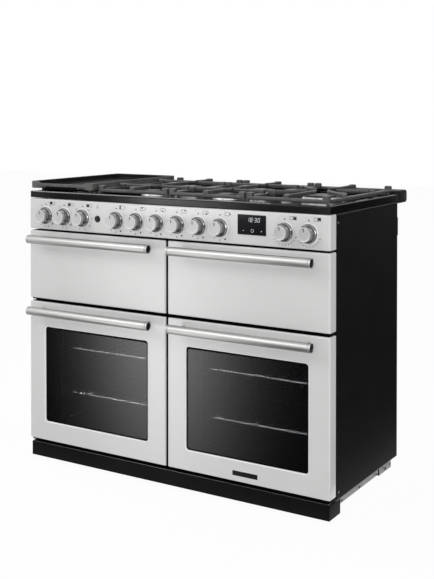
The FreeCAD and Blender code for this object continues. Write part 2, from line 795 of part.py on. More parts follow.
def clock_display():
    x0, z0, x1, z1 = clock_edges(length(0))
    glass = box((x0, front - d.clock_glass, z0), (x1, front, z1))
    x0, z0, x1, z1 = clock_edges(-d.clock_lap - d.slide_fit)
    case = box((x0, front, z0), (x1, front + d.clock_case_depth, z1))
    return finish(together([glass, case]), "clock_display")


def knob_bezels():
    left, burners, right = knob_places()
    rings = []
    for x in left + burners + right:
        ring = rod("y", (x, front - d.bezel_depth, knob_level), d.bezel_radius, d.bezel_depth)
        hole = rod("y", (x, front - d.bezel_depth, knob_level), d.spindle_hole, d.bezel_depth)
        rings.append(cut(ring, hole))
    return finish(together(rings), "knob_bezels")


def knob(x, label):
    """A flared knob with a flat face, a mark at its top, and a spindle that runs into its tap or switch."""
    body = new_body()
    base = d.bezel_depth + d.knob_space
    skirt_top = base + d.knob_skirt
    top = base + d.knob_length
    face_low = top - d.knob_face_depth
    outline = [
        (0, -d.spindle_length), (d.spindle_radius, -d.spindle_length), (d.spindle_radius, base),
        (d.knob_base_radius, base), (d.knob_base_radius, skirt_top),
        (d.knob_waist_radius + d.knob_edge, skirt_top + d.knob_skirt), (d.knob_waist_radius, face_low),
        (d.knob_face_radius, face_low + d.knob_edge), (d.knob_face_radius, top - d.knob_edge),
        (d.knob_face_radius - d.knob_edge, top), (0, top),
    ]
    turned(body, outline)
    high = d.knob_face_radius - d.knob_edge * 2
    mark = rectangle(-d.mark_width / 2, high - d.mark_length, d.mark_width / 2, high)
    pocket(body, "XY_Plane", [mark], top - d.mark_depth, top)
    body.Placement = FreeCAD.Placement(FreeCAD.Vector(), FreeCAD.Rotation(FreeCAD.Vector(1, 0, 0), 90))
    place(body, (x, front, knob_level))
    return finish(body, label)


def knobs():
    left, burners, right = knob_places()
    names = ["knob_grill", "knob_left_oven_mode", "knob_left_oven_heat"]
    names += ["knob_griddle_burner"] + [f"knob_burner_{i}" for i in range(1, 6)]
    names += ["knob_right_oven_heat", "knob_proving_drawer"]
    for x, label in zip(left + burners + right, names):
        knob(x, label)


def control_bodies():
    """The taps and switches behind the knobs, the button's switch, and the gas rail with its inlet."""
    left, burners, right = knob_places()
    start = front + d.front_sheet
    pieces = []
    for x in left + burners + right:
        tap = rod("y", (x, start, knob_level), d.tap_radius, d.tap_depth)
        bore = rod("y", (x, start, knob_level), d.spindle_radius + d.running_fit, d.tap_bore)
        pieces.append(cut(tap, bore))
    switch = rod("y", (d.button_place, start, knob_level), d.tap_radius, d.tap_depth)
    travel = rod("y", (d.button_place, start, knob_level), d.button_hole,
                 d.button_inside + d.button_stroke * 2 - d.front_sheet)
    stem = rod("y", (d.button_place, start, knob_level), d.spindle_radius + d.running_fit,
               d.tap_bore + d.button_stroke * 2)
    pieces.append(cut(switch, joined([travel, stem])))
    rail_line = start + d.tap_depth + d.gas_rail_radius
    inlet = inlet_place()
    panel_back = body_back - d.side_sheet
    rail = rod("x", (inlet, rail_line, knob_level), d.gas_rail_radius, burners[-1] - inlet + d.gas_rail_end)
    pipe = rod("y", (inlet, rail_line, knob_level), d.gas_rail_radius, panel_back - d.side_sheet - rail_line)
    stub = rod("y", (inlet, panel_back - d.side_sheet, knob_level), d.inlet_radius,
               d.inlet_reach + d.side_sheet)
    pieces.append(joined([rail, pipe, stub]))
    return finish(together(pieces), "control_bodies")


def ignition_button():
    body = new_body()
    outline = [
        (0, -d.spindle_length), (d.spindle_radius, -d.spindle_length), (d.spindle_radius, -d.button_inside),
        (d.button_radius, -d.button_inside), (d.button_radius, d.button_reach - d.knob_edge),
        (d.button_radius - d.knob_edge, d.button_reach), (0, d.button_reach),
    ]
    turned(body, outline)
    body.Placement = FreeCAD.Placement(FreeCAD.Vector(), FreeCAD.Rotation(FreeCAD.Vector(1, 0, 0), 90))
    place(body, (d.button_place, front, knob_level))
    return finish(body, "ignition_button")


# Hob

def hob_top():
    """A pressed tray: a rim all round, a sunken well, and hollow underneath."""
    body = new_body()
    block = pad(body, "XY_Plane", [rectangle(-half, front, half, hob_back)], panel_high, rim_top)
    rounded(body, block, d.front_round, lambda points: all(near(p.z, rim_top.value) for p in points))
    edge = d.tray_sheet
    hollow = rectangle(-half + edge, front + edge, half - edge, hob_back - edge)
    pocket(body, "XY_Plane", [hollow], panel_high, well_floor - d.tray_sheet)
    rim = d.rim_width
    well = rectangle(-half + rim, front + rim, half - rim, hob_back - rim)
    pocket(body, "XY_Plane", [well], well_floor, rim_top)
    return finish(body, "hob_top")


def rear_vent_trim():
    """A box behind the hob with rounded rear edges, open below, and a row of slots in its top."""
    body = new_body()
    low, high = panel_high - d.vent_drop, rim_top + d.vent_rise
    block = pad(body, "YZ_Plane", [rectangle(hob_back, low, vent_back, high)], -half, half)
    rounded(body, block, d.vent_round,
            lambda points: all(near(p.y, vent_back.value) for p in points)
            and not near(points[0].x, points[-1].x))
    wall = d.vent_sheet
    inside = rectangle(-half + wall, hob_back + wall, half - wall, vent_back - wall)
    pocket(body, "XY_Plane", [inside], low + d.vent_round, high - wall)
    floor = rectangle(-half + wall, hob_back + wall, half - wall, vent_back - d.vent_round)
    pocket(body, "XY_Plane", [floor], low, low + d.vent_round)
    slots = []
    count = int(d.vent_slot_count.value)
    middle = (hob_back + vent_back) / 2
    for i in range(count):
        x = d.vent_slot_pitch * (i - (count - 1) / 2)
        slots.append(rectangle(x - d.vent_slot_width / 2, middle - d.vent_slot_length / 2,
                               x + d.vent_slot_width / 2, middle + d.vent_slot_length / 2))
    pocket(body, "XY_Plane", slots, high - wall, high)
    return finish(body, "rear_vent_trim")


def support_edges(index):
    """The low and high X of a pan support, counted from the right."""
    high = half - d.support_edge - (d.support_width + d.support_space) * index
    return high - d.support_width, high


def burner_places():
    """The round burners: two on each of the left and middle supports, and the wide one on the right."""
    places = []
    for index in (2, 1):
        low, high = support_edges(index)
        places += [((low + high) / 2, front + d.burner_front), ((low + high) / 2, front + d.burner_rear)]
    low, high = support_edges(0)
    places.append(((low + high) / 2, front + (d.burner_front + d.burner_rear) / 2))
    return places


def griddle_edges():
    low = -half + d.griddle_edge
    return low, low + d.griddle_width


def burners():
    """Burner bases that stand on the well's floor, and the caps that lie on them."""
    bases, caps = [], []
    neck_top = d.burner_base + d.burner_neck_height
    for i, (x, y) in enumerate(burner_places()):
        grow = d.wok_radius - d.burner_radius if i == 4 else length(0)
        base = new_body()
        turned(base, [
            (0, 0), (d.burner_radius + grow, 0), (d.burner_radius + grow, d.burner_base),
            (d.burner_neck + grow, d.burner_base), (d.burner_neck + grow, neck_top), (0, neck_top),
        ])
        bases.append(place(base, (x, y, well_floor)))
        cap = new_body()
        rim = d.burner_cap + grow
        turned(cap, [
            (0, 0), (rim, 0), (rim, d.burner_cap_height - d.cap_round),
            (rim - d.cap_round, d.burner_cap_height), (0, d.burner_cap_height),
        ])
        caps.append(place(cap, (x, y, well_floor + neck_top)))
    low, high = griddle_edges()
    middle_x = (low + high) / 2
    middle_y = front + (d.griddle_front + d.griddle_rear) / 2
    edge = d.fish_cap_edge
    across, along = d.fish_width / 2, d.fish_length / 2
    top = well_floor + d.fish_base
    bases.append(box((middle_x - across, middle_y - along, well_floor),
                     (middle_x + across, middle_y + along, top)))
    caps.append(box((middle_x - across + edge, middle_y - along + edge, top),
                    (middle_x + across - edge, middle_y + along - edge, top + d.fish_cap)))
    finish(together(bases), "burner_bases")
    finish(together(caps), "burner_caps")


def bar_between(start, end, width, low, high):
    """An upright bar of some width between two points of the plan."""
    along = end - start
    block = Part.makeBox(along.Length, width, high - low, FreeCAD.Vector(0, -width / 2, 0))
    angle = math.degrees(math.atan2(along.y, along.x))
    block.Placement = FreeCAD.Placement(FreeCAD.Vector(start.x, start.y, low),
                                        FreeCAD.Rotation(FreeCAD.Vector(0, 0, 1), angle))
    return block


def pan_support(index, label):
    """A cast frame on feet, with fingers that reach in from raised pads towards each burner."""
    low_x, high_x = (x.value for x in support_edges(index))
    low_y, high_y = (front + d.support_front).value, (front + d.support_rear).value
    floor = well_floor.value
    bar, post, finger = d.support_bar.value, d.support_post.value, d.finger_width.value
    bar_low, bar_high = floor + d.support_bar_low.value, floor + d.support_bar_high.value
    finger_low, top = floor + d.finger_low.value, floor + d.support_top.value
    middle_x, middle_y = (low_x + high_x) / 2, (low_y + high_y) / 2
    rows = [(front + d.burner_front).value, (front + d.burner_rear).value]
    point = FreeCAD.Vector
    pieces = []
    inset = bar / 2
    corners = [(low_x + inset, low_y + inset), (high_x - inset, low_y + inset),
               (high_x - inset, high_y - inset), (low_x + inset, high_y - inset)]
    for i, (x, y) in enumerate(corners):
        x1, y1 = corners[(i + 1) % 4]
        pieces.append(bar_between(point(x, y), point(x1, y1), bar, bar_low, bar_high))
    deep, aside = d.support_post_depth.value, d.support_post_inset.value
    foot_y = (front + d.support_foot_rear).value - deep
    for x in (low_x + aside, high_x - aside - post):
        pieces.append(Part.makeBox(post, deep, top - floor, point(x, low_y, floor)))
        pieces.append(Part.makeBox(post, deep, top - bar_low, point(x, high_y - deep, bar_low)))
        pieces.append(Part.makeBox(post, deep, bar_high - floor, point(x, foot_y, floor)))
    single = index == 0
    if not single:
        pieces.append(bar_between(point(low_x + inset, middle_y), point(high_x - inset, middle_y),
                                  bar, bar_low, bar_high))
    stop = d.finger_stop.value + (d.wok_radius - d.burner_radius).value * single

    def add_finger(start, burner):
        way = (burner - start).normalize()
        pieces.append(bar_between(start, burner - way * stop, finger, finger_low, top))
        pieces.append(bar_between(start, start + way * d.pad_length.value, post, bar_low, top))

    centres = [middle_y, middle_y] if single else rows
    edge = post / 2 * single
    for row, centre in zip(rows, centres):
        burner = point(middle_x, centre)
        add_finger(point(low_x + edge, row), burner)
        add_finger(point(high_x - edge, row), burner)
    add_finger(point(middle_x, low_y), point(middle_x, centres[0]))
    add_finger(point(middle_x, high_y), point(middle_x, centres[1]))
    if not single:
        for centre in centres:
            add_finger(point(middle_x, middle_y), point(middle_x, centre))
    return finish(shaped(pieces[0].multiFuse(pieces[1:]).removeSplitter()), label)


def griddle():
    """A cast tray on four feet, with a low stretch in its front wall for pouring and lifting."""
    body = new_body()
    low_x, high_x = griddle_edges()
    low_y, high_y = front + d.griddle_front, front + d.griddle_rear
    bottom, top = well_floor + d.griddle_bottom, well_floor + d.griddle_top
    block = pad(body, "XY_Plane", [rectangle(low_x, low_y, high_x, high_y)], bottom, top)
    rounded(body, block, d.griddle_round,
            lambda points: near(points[0].x, points[-1].x) and near(points[0].y, points[-1].y))
    wall = d.griddle_wall
    inside = rectangle(low_x + wall, low_y + wall, high_x - wall, high_y - wall)
    pocket(body, "XY_Plane", [inside], bottom + d.griddle_floor, top)
    lip = well_floor + d.griddle_lip
    left, right = low_x + d.griddle_notch_left, high_x - d.griddle_notch_right
    slope = d.griddle_notch_slope
    notch = [(left, top), (left + slope, lip), (right - slope, lip), (right, top)]
    pocket(body, "XZ_Plane", [notch], low_y, low_y + wall)
    feet = []
    for x in (low_x + d.griddle_foot_inset, high_x - d.griddle_foot_inset):
        for y in (low_y + d.griddle_foot_inset, high_y - d.griddle_foot_inset):
            feet.append(Circle(x, y, d.griddle_foot))
    pad(body, "XY_Plane", feet, well_floor, bottom)
    return finish(body, "griddle")


# Oven insides

def wire(start, end, radius):
    along = end - start
    return Part.makeCylinder(radius, along.Length, start, along)


def guide_levels():
    return [(oven_low + d.guide_first + d.guide_pitch * i).value for i in range(int(d.guide_count.value))]


def rack_guides():
    """A ladder of wires on each side wall of each oven."""
    radius, stand = d.guide_wire.value, d.guide_stand.value
    low_y, high_y = (frame_back + d.guide_front).value, (frame_back + d.guide_rear).value
    levels = guide_levels()
    point = FreeCAD.Vector
    ladders = []
    for side in (-1, 1):
        for wall in (-1, 1):
            edge = (front_centre * side + cavity_half * wall).value
            upright = edge - radius * wall
            rail = upright - stand * wall
            pieces = []
            for y in (low_y + radius * 4, high_y - radius * 4):
                bottom, top = levels[0] - radius * 4, levels[-1] + radius * 4
                pieces.append(wire(point(upright, y, bottom), point(upright, y, top), radius))
            pieces += [wire(point(rail, low_y, z), point(rail, high_y, z), radius) for z in levels]
            ladders.append(shaped(pieces[0].multiFuse(pieces[1:])))
    return finish(together(ladders), "rack_guides")


def rack(side, level):
    """A wire shelf: a frame, and rods that run from front to back over it."""
    frame_wire, thin = d.rack_wire.value, d.rack_rod.value
    stand = d.guide_wire.value + d.guide_stand.value
    middle = (front_centre * side).value
    reach = cavity_half.value - stand - d.rack_inset.value
    low_y, high_y = (frame_back + d.rack_front).value, (frame_back + d.rack_rear).value
    apart = d.guide_wire.value + frame_wire + d.rack_seat.value
    z = guide_levels()[int(level.value)] + math.sqrt(apart ** 2 - d.rack_inset.value ** 2)
    point = FreeCAD.Vector
    corners = [point(middle - reach, low_y, z), point(middle + reach, low_y, z),
               point(middle + reach, high_y, z), point(middle - reach, high_y, z)]
    pieces = []
    for i, corner in enumerate(corners):
        pieces.append(wire(corner, corners[(i + 1) % 4], frame_wire))
        pieces.append(Part.makeSphere(frame_wire, corner))
    pitch = d.rack_rod_pitch.value
    count = int(2 * reach / pitch)
    first = middle - pitch * (count - 1) / 2
    lift = frame_wire
    for i in range(count):
        x = first + pitch * i
        ends = [point(x, y, z + lift) for y in (low_y - frame_wire, high_y + frame_wire)]
        pieces.append(wire(ends[0], ends[1], thin))
    return shaped(pieces[0].multiFuse(pieces[1:]))


def oven_racks():
    shelves = [rack(side, level) for side in (-1, 1) for level in (d.rack_lower_level, d.rack_upper_level)]
    return finish(together(shelves), "oven_racks")


def oven_middle():
    return (oven_low + oven_high) / 2


def fan_covers():
    """A shallow pan over each fan, with a ring of holes round a middle hole."""
    def cover(side):
        body = new_body()
        middle, level = front_centre * side, oven_middle()
        across, up = d.cover_width / 2, d.cover_height / 2
        start = cavity_back - d.cover_depth
        edges = (middle - across, level - up, middle + across, level + up)
        pad(body, "XZ_Plane", [rectangle(*edges)], start, cavity_back)
        pocket(body, "XZ_Plane", [grown(edges, -d.cover_sheet)], start + d.cover_sheet, cavity_back)
        holes = [Circle(middle, level, d.cover_hole * 2)]
        count = int(d.cover_hole_count.value)
        for i in range(count):
            angle = 2 * math.pi * i / count
            x, z = middle + d.cover_ring * math.cos(angle), level + d.cover_ring * math.sin(angle)
            holes.append(Circle(x, z, d.cover_hole))
        pocket(body, "XZ_Plane", holes, start, start + d.cover_sheet)
        return body

    return finish(together(mirrored_pair(cover)), "fan_covers")


def fan(side, label):
    """A disc with radial blades, on a shaft that runs through the oven's back into the motor."""
    middle, level = (front_centre * side).value, oven_middle().value
    back = (cavity_back - d.fan_back_space).value
    start = back - d.fan_depth.value
    radius, hub, disc = d.fan_radius.value, d.fan_hub.value, d.fan_disc.value
    end = (cavity_back + d.liner_sheet + d.fan_shaft_reach).value
    axis = FreeCAD.Vector(0, 1, 0)
    point = FreeCAD.Vector
    pieces = [
        Part.makeCylinder(radius, disc, point(middle, back - disc, level), axis),
        Part.makeCylinder(hub, back - start, point(middle, start, level), axis),
        Part.makeCylinder(d.fan_shaft.value, end - start, point(middle, start, level), axis),
    ]
    count = int(d.fan_blade_count.value)
    for i in range(count):
        blade = Part.makeBox(radius - hub, back - start, disc, point(hub - 1, start, -disc / 2))
        blade.rotate(point(), axis, 360 * i / count)
        blade.translate(point(middle, 0, level))
        pieces.append(blade)
    return finish(shaped(pieces[0].multiFuse(pieces[1:])), label)


def fan_motors():
    def motor(side):
        start = cavity_back + d.liner_sheet
        at = (front_centre * side, start, oven_middle())
        bore = rod("y", at, d.fan_shaft + d.running_fit, d.fan_shaft_reach + d.fan_back_space)
        return cut(rod("y", at, d.motor_radius, d.motor_length), bore)

    return finish(together(mirrored_pair(motor)), "fan_motors")


def ring_element(side):
    """A ring of tube round the fan, with two legs to the oven's back."""
    radius = d.element_radius.value
    middle, level = (front_centre * side).value, oven_middle().value
    line = (cavity_back - d.ring_stand).value
    axis = FreeCAD.Vector(0, 1, 0)
    centre = FreeCAD.Vector(middle, line, level)
    pieces = [Part.makeTorus(d.ring_radius.value, radius, centre, axis)]
    for way in (-1, 1):
        foot = centre + FreeCAD.Vector(0, radius / 2, d.ring_radius.value * way)
        pieces.append(Part.makeCylinder(d.ring_ferrule.value, d.ring_stand.value - radius / 2, foot, axis))
    return shaped(pieces[0].multiFuse(pieces[1:]))


def grill_element():
    """A tube that runs to and fro under the grill's roof, with both ends in the back wall."""
    radius, pitch, run = d.element_radius.value, d.grill_loop_pitch.value, d.grill_run.value
    count = int(d.grill_loops.value)
    level = (cavity_high - d.grill_drop).value
    middle = (-front_centre).value
    near_y = (frame_back + d.grill_back).value
    far_y = near_y + run
    back = cavity_back.value
    first = middle - pitch * (count - 1) / 2
    bend = pitch / 2
    point = FreeCAD.Vector
    edges = []
    for i in range(count):
        x = first + pitch * i
        start_y = back if i == 0 else far_y - bend
        end_y = back if i == count - 1 else far_y - bend
        low = point(x, near_y + bend, level)
        if i % 2 == 0:
            edges.append(Part.LineSegment(point(x, start_y, level), low).toShape())
            arc_y, side = near_y + bend, -1
        else:
            edges.append(Part.LineSegment(low, point(x, end_y, level)).toShape())
            arc_y, side = far_y - bend, 1
        if i < count - 1:
            edges.append(Part.Arc(point(x, arc_y, level), point(x + bend, arc_y + bend * side, level),
                                  point(x + pitch, arc_y, level)).toShape())
    path = Part.Wire(edges)
    start = path.Edges[0].firstVertex().Point
    circle = Part.Wire(Part.makeCircle(radius, start, point(0, 1, 0)))
    return shaped(path.makePipeShell([circle], True, True))


def heating_elements():
    rings = mirrored_pair(ring_element)
    return finish(together(rings + [grill_element()]), "heating_elements")


def build():
    base_frame()
    plinth()
    front_feet()
    roller_brackets()
    rear_rollers()
    side_panel(-1, "side_panel_left")
    side_panel(1, "side_panel_right")
    back_panel()
    front_frame()
    liners()
    drawer_front(-1, "grill_front")
    drawer_front(1, "drawer_front")
    for side, name in ((-1, "left"), (1, "right")):
        door_front(side, f"door_{name}_front")
        door_glass(side, f"door_{name}_glass")
        door_inner(side, f"door_{name}_inner")
        handle(side, lower_high, f"door_{name}_handle")
    hinge_brackets()
    door_seals()
    handle(-1, upper_high, "grill_handle")
    handle(1, upper_high, "drawer_handle")
    slide_rails()
    drawer_tray()
    grill_parts()
    control_panel()
    clock_display()
    knob_bezels()
    knobs()
    control_bodies()
    ignition_button()
    hob_top()
    rear_vent_trim()
    burners()
    for index, name in ((2, "left"), (1, "centre"), (0, "right")):
        pan_support(index, f"pan_support_{name}")
    griddle()
    rack_guides()
    oven_racks()
    fan_covers()
    fan(-1, "fan_left")
    fan(1, "fan_right")
    fan_motors()
    heating_elements()


def check_and_write():
    doc.recompute()
    bad = [o.Name for o in doc.Objects if "Invalid" in o.State or "Error" in o.State]
    for node in nodes:
        if node.Shape.isNull() or not node.Shape.isValid() or not node.Shape.Solids:
            bad.append(node.Label)
    if bad:
        raise SystemExit(f"these objects failed: {bad}")
    os.makedirs("parts", exist_ok=True)
    for node in nodes:
        node.Shape.exportStep(f"parts/{node.Label}.step")
    print(len(nodes), "sub-parts written")


build()
check_and_write()
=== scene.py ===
import math

import bmesh
import bpy
import numpy as np

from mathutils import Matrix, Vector


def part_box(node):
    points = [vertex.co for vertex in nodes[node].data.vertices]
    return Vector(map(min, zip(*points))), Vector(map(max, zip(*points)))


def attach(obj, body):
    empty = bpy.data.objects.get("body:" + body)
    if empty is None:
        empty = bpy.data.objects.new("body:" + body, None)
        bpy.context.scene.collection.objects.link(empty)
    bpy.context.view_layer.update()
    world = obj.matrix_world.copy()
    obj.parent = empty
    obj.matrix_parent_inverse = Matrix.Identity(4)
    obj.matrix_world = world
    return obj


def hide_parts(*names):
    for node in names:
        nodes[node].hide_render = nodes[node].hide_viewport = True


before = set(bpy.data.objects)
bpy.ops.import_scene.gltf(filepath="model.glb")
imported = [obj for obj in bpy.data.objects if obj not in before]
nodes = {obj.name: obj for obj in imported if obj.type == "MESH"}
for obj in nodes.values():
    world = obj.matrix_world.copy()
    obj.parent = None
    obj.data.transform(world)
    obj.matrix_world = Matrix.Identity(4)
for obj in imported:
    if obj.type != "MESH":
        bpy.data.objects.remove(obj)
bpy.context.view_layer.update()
print("frame:", len(nodes), "nodes")


# Mesh tools: every piece is a set of closed grids

mergeWithin = 1e-6
bothSides = (("left", -1), ("right", 1))
finishes = {}


def joinShells(name, shells, looped):
    # each shell is a grid of points (station, around); quads join neighbours and close the way round
    allVerts, allQuads, allUv, base = [], [], [], 0
    for grid in shells:
        stations, around = grid.shape[:2]
        index = np.arange(stations * around).reshape(stations, around)
        beside = np.roll(index, -1, axis=1)
        rows = slice(None) if looped else slice(0, stations - 1)
        quads = np.stack([index, beside, np.roll(beside, -1, 0), np.roll(index, -1, 0)], -1)[rows]
        u = np.arange(around + 1) / around
        v = np.arange(stations + 1) / stations
        cornerU = np.stack([u[:-1], u[1:], u[1:], u[:-1]], -1)[None].repeat(quads.shape[0], 0)
        cornerV = np.stack([v[:-1], v[:-1], v[1:], v[1:]], -1)[rows][:, None].repeat(around, 1)
        allVerts.append(grid.reshape(-1, 3))
        allQuads.append(quads.reshape(-1, 4) + base)
        allUv.append(np.stack([cornerU, cornerV], -1).reshape(-1, 2))
        base += stations * around
    mesh = bpy.data.meshes.new(name)
    mesh.from_pydata(np.concatenate(allVerts).tolist(), [], np.concatenate(allQuads).tolist())
    layer = mesh.uv_layers.new(name="surface")
    layer.data.foreach_set("uv", np.concatenate(allUv).astype(np.float32).ravel())
    return mesh


def addPiece(name, shells, finish, body, slot, replaced=None, sharp=35, looped=False):
    # poles and seams are merged, faces turned outwards, and edges over the angle kept sharp
    mesh = joinShells(name, shells, looped)
    work = bmesh.new()
    work.from_mesh(mesh)
    bmesh.ops.remove_doubles(work, verts=work.verts, dist=mergeWithin)
    bmesh.ops.recalc_face_normals(work, faces=work.faces)
    work.to_mesh(mesh)
    work.free()
    mesh.polygons.foreach_set("use_smooth", np.ones(len(mesh.polygons), dtype=bool))
    mesh.set_sharp_from_angle(angle=math.radians(sharp))
    mesh.materials.append(finishes[finish])
    piece = bpy.data.objects.new(name, mesh)
    bpy.context.scene.collection.objects.link(piece)
    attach(piece, body)
    if replaced:
        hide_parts(replaced)


def softCorners(points, radius, steps=4, most=0.45):
    # each inner corner of a profile becomes a short quadratic curve between points on its two sides
    p = np.asarray(points, float)
    before, here, after = p[:-2], p[1:-1], p[2:]
    lenA = np.linalg.norm(before - here, axis=1, keepdims=True)
    lenB = np.linalg.norm(after - here, axis=1, keepdims=True)
    startP = here + (before - here) * np.minimum(radius / lenA, most)
    endP = here + (after - here) * np.minimum(radius / lenB, most)
    t = np.linspace(0, 1, steps)[None, :, None]
    curve = (1 - t) ** 2 * startP[:, None] + 2 * t * (1 - t) * here[:, None] + t ** 2 * endP[:, None]
    return np.vstack([p[:1], curve.reshape(-1, 2), p[-1:]])


axisFrames = {  # along, then the two directions across
    "right": ((1, 0, 0), (0, 1, 0), (0, 0, 1)),
    "front": ((0, -1, 0), (1, 0, 0), (0, 0, 1)),
    "back": ((0, 1, 0), (1, 0, 0), (0, 0, 1)),
    "up": ((0, 0, 1), (1, 0, 0), (0, 1, 0)),
}


def spin(profile, origin, way, count=64):
    # a profile of (radius, along) points turned about an axis: origin + along*axis + radius*(cos, sin)
    along, across, up = (np.array(v, float) for v in axisFrames[way])
    p = np.asarray(profile, float)
    turn = np.linspace(0, 2 * np.pi, count, endpoint=False)
    ring = np.cos(turn)[:, None] * across + np.sin(turn)[:, None] * up
    return np.array(origin, float) + p[:, None, 1:2] * along + p[:, None, 0:1] * ring[None]


def outline(edges, grow=0.0, corner=0.0, steps=6, side=0):
    # a rectangle with round corners: quarter turns about four centres, and points spread along the runs between
    x0, z0, x1, z1 = edges
    halfX = max((x1 - x0) / 2 + grow, 0.0)
    halfZ = max((z1 - z0) / 2 + grow, 0.0)
    r = min(max(corner + grow, 0.0), halfX, halfZ)
    turn = np.linspace(0, np.pi / 2, steps)[None] + np.arange(4)[:, None] * np.pi / 2
    signX = np.array([1, -1, -1, 1])[:, None]
    signZ = np.array([1, 1, -1, -1])[:, None]
    x = (x0 + x1) / 2 + signX * (halfX - r) + r * np.cos(turn)
    z = (z0 + z1) / 2 + signZ * (halfZ - r) + r * np.sin(turn)
    arcs = np.stack([x, z], -1)
    t = np.linspace(0, 1, side + 2)[1:-1][None, :, None]
    runs = arcs[:, -1:] * (1 - t) + np.roll(arcs[:, :1], -1, axis=0) * t
    return np.concatenate([arcs, runs], 1).reshape(-1, 2)


def plateRing(edges, grow, corner, y):
    return np.insert(outline(edges, grow, corner), 1, y, axis=1)


def trayRing(edges, grow, corner, z, side=0):
    return np.insert(outline(edges, grow, corner, 9, side), 2, z, axis=1)


def pole(ring):
    return np.repeat(ring.mean(0, keepdims=True), len(ring), 0)


def closed(rings):
    return np.stack([pole(rings[0]), *rings, pole(rings[-1])])


def quarterTurn(steps=6):
    # pairs of how far in, and how far still to go
    turn = np.linspace(0, np.pi / 2, steps)
    return list(zip(1 - np.cos(turn), 1 - np.sin(turn)))


def plate(edges, corner, yFront, yBack, edge, flat=1.3):
    # a slab whose front edge is a quarter turn: back pole, sides, rounded edge, front pole
    rings = [plateRing(edges, 0, corner, yBack)]
    rings += [plateRing(edges, -edge * i, corner, yFront + edge * k) for i, k in quarterTurn()]
    return closed(rings + [plateRing(edges, -edge * flat, corner, yFront)])


def block(edges, corner, lowZ, highZ):
    return closed([trayRing(edges, 0, corner, z) for z in (lowZ, highZ)])


def squarish(turn, power):
    # a superellipse: the cosine and the sine with their size raised to 2/power
    return [np.sign(s) * np.abs(s) ** (2 / power) for s in (np.cos(turn), np.sin(turn))]


barTip = dict(run=np.array([0, 0.06, 0.3, 1.0]), fill=np.array([0, 0.62, 0.9, 1.0]))


def bar(start, end, width, lowZ, highZ, power=5.0, tip=0.002, count=20):
    # a squarish superellipse carried along a line, its section shrinking to a point over each tip
    start, end = np.array(start, float), np.array(end, float)
    span = np.linalg.norm(end - start)
    along = np.append((end - start) / span, 0.0)
    side = np.array([-along[1], along[0], 0.0])
    tipRun = barTip["run"] * tip
    run = np.concatenate([tipRun, np.linspace(tip, span - tip, 5)[1:-1], span - tipRun[::-1]])
    fill = np.concatenate([barTip["fill"], np.ones(3), barTip["fill"][::-1]])[:, None]
    low, high = (np.interp(run / span, np.linspace(0, 1, np.size(z)), np.atleast_1d(z)) for z in (lowZ, highZ))
    across, up = squarish(np.linspace(0, 2 * np.pi, count, endpoint=False), power)
    points = np.append(start, 0.0) + run[:, None, None] * along
    points = points + (fill * across[None])[..., None] * side * width / 2
    points[..., 2] = ((low + high) / 2)[:, None] + fill * ((high - low) / 2)[:, None] * up[None]
    return points


# Finishes: every one reads Object coordinates or the piece's own surface map

def newMaterial(name):
    material = bpy.data.materials.new(name)
    material.use_nodes = True
    return material, material.node_tree


def addNode(tree, kind, values=()):
    node = tree.nodes.new("ShaderNode" + kind)
    for socket, value in dict(values).items():
        node.inputs[socket].default_value = value
    return node


def wire(tree, *runs):
    for source, socket, target, into in runs:
        tree.links.new(source.outputs[socket], target.inputs[into])


noiseLook = dict(broadDetail=4, fineDetail=3, low=0.3, high=0.7, bumpHigh=0.001)
shaderSockets = {  # socket, the look's word for it, and its usual value
    "Metallic": ("metal", 0.0), "Specular IOR Level": ("specular", 0.5), "Coat Weight": ("coat", 0.0),
    "Coat Roughness": ("coatRough", 0.05), "Alpha": ("alpha", 1.0),
}


def makeFinish(name, colour, vary, broadScale, rough, grain, bumpStrength, more):
    # two noises: a broad one moves colour and gloss a little, a fine one gives the grain's height
    n = noiseLook
    finish, tree = newMaterial(name)
    shader = tree.nodes["Principled BSDF"]
    place = addNode(tree, "TexCoord")
    scale = addNode(tree, "Mapping", {"Scale": more.get("stretch", (1, 1, 1))})
    broad = addNode(tree, "TexNoise", {"Scale": broadScale, "Detail": n["broadDetail"]})
    ramp = addNode(tree, "ValToRGB")
    for stop, at, shade in ((0, n["low"], 1 - vary), (1, n["high"], 1 + vary)):
        ramp.color_ramp.elements[stop].position = at
        ramp.color_ramp.elements[stop].color = (*np.clip(np.array(colour) * shade, 0, 1), 1)
    gloss = addNode(tree, "MapRange", {"To Min": rough[0], "To Max": rough[1]})
    fine = addNode(tree, "TexNoise", {"Scale": grain, "Detail": n["fineDetail"]})
    bump = addNode(tree, "Bump", {"Strength": bumpStrength, "Distance": n["bumpHigh"]})
    wire(tree, (place, more.get("space", "Object"), scale, "Vector"), (scale, "Vector", broad, "Vector"),
         (broad, "Fac", ramp, "Fac"), (ramp, "Color", shader, "Base Color"), (broad, "Fac", gloss, "Value"),
         (gloss, "Result", shader, "Roughness"), (scale, "Vector", fine, "Vector"), (fine, "Fac", bump, "Height"),
         (bump, "Normal", shader, "Normal"))
    for socket, (word, usual) in shaderSockets.items():
        shader.inputs[socket].default_value = more.get(word, usual)
    shader.inputs["Specular Tint"].default_value = (*[more.get("rimTint", 1.0)] * 3, 1)  # dims a metal seen edge-on
    if "glow" in more:
        shader.inputs["Emission Color"].default_value = (*more["glow"], 1)
        shader.inputs["Emission Strength"].default_value = more["glowStrength"]
    return finish


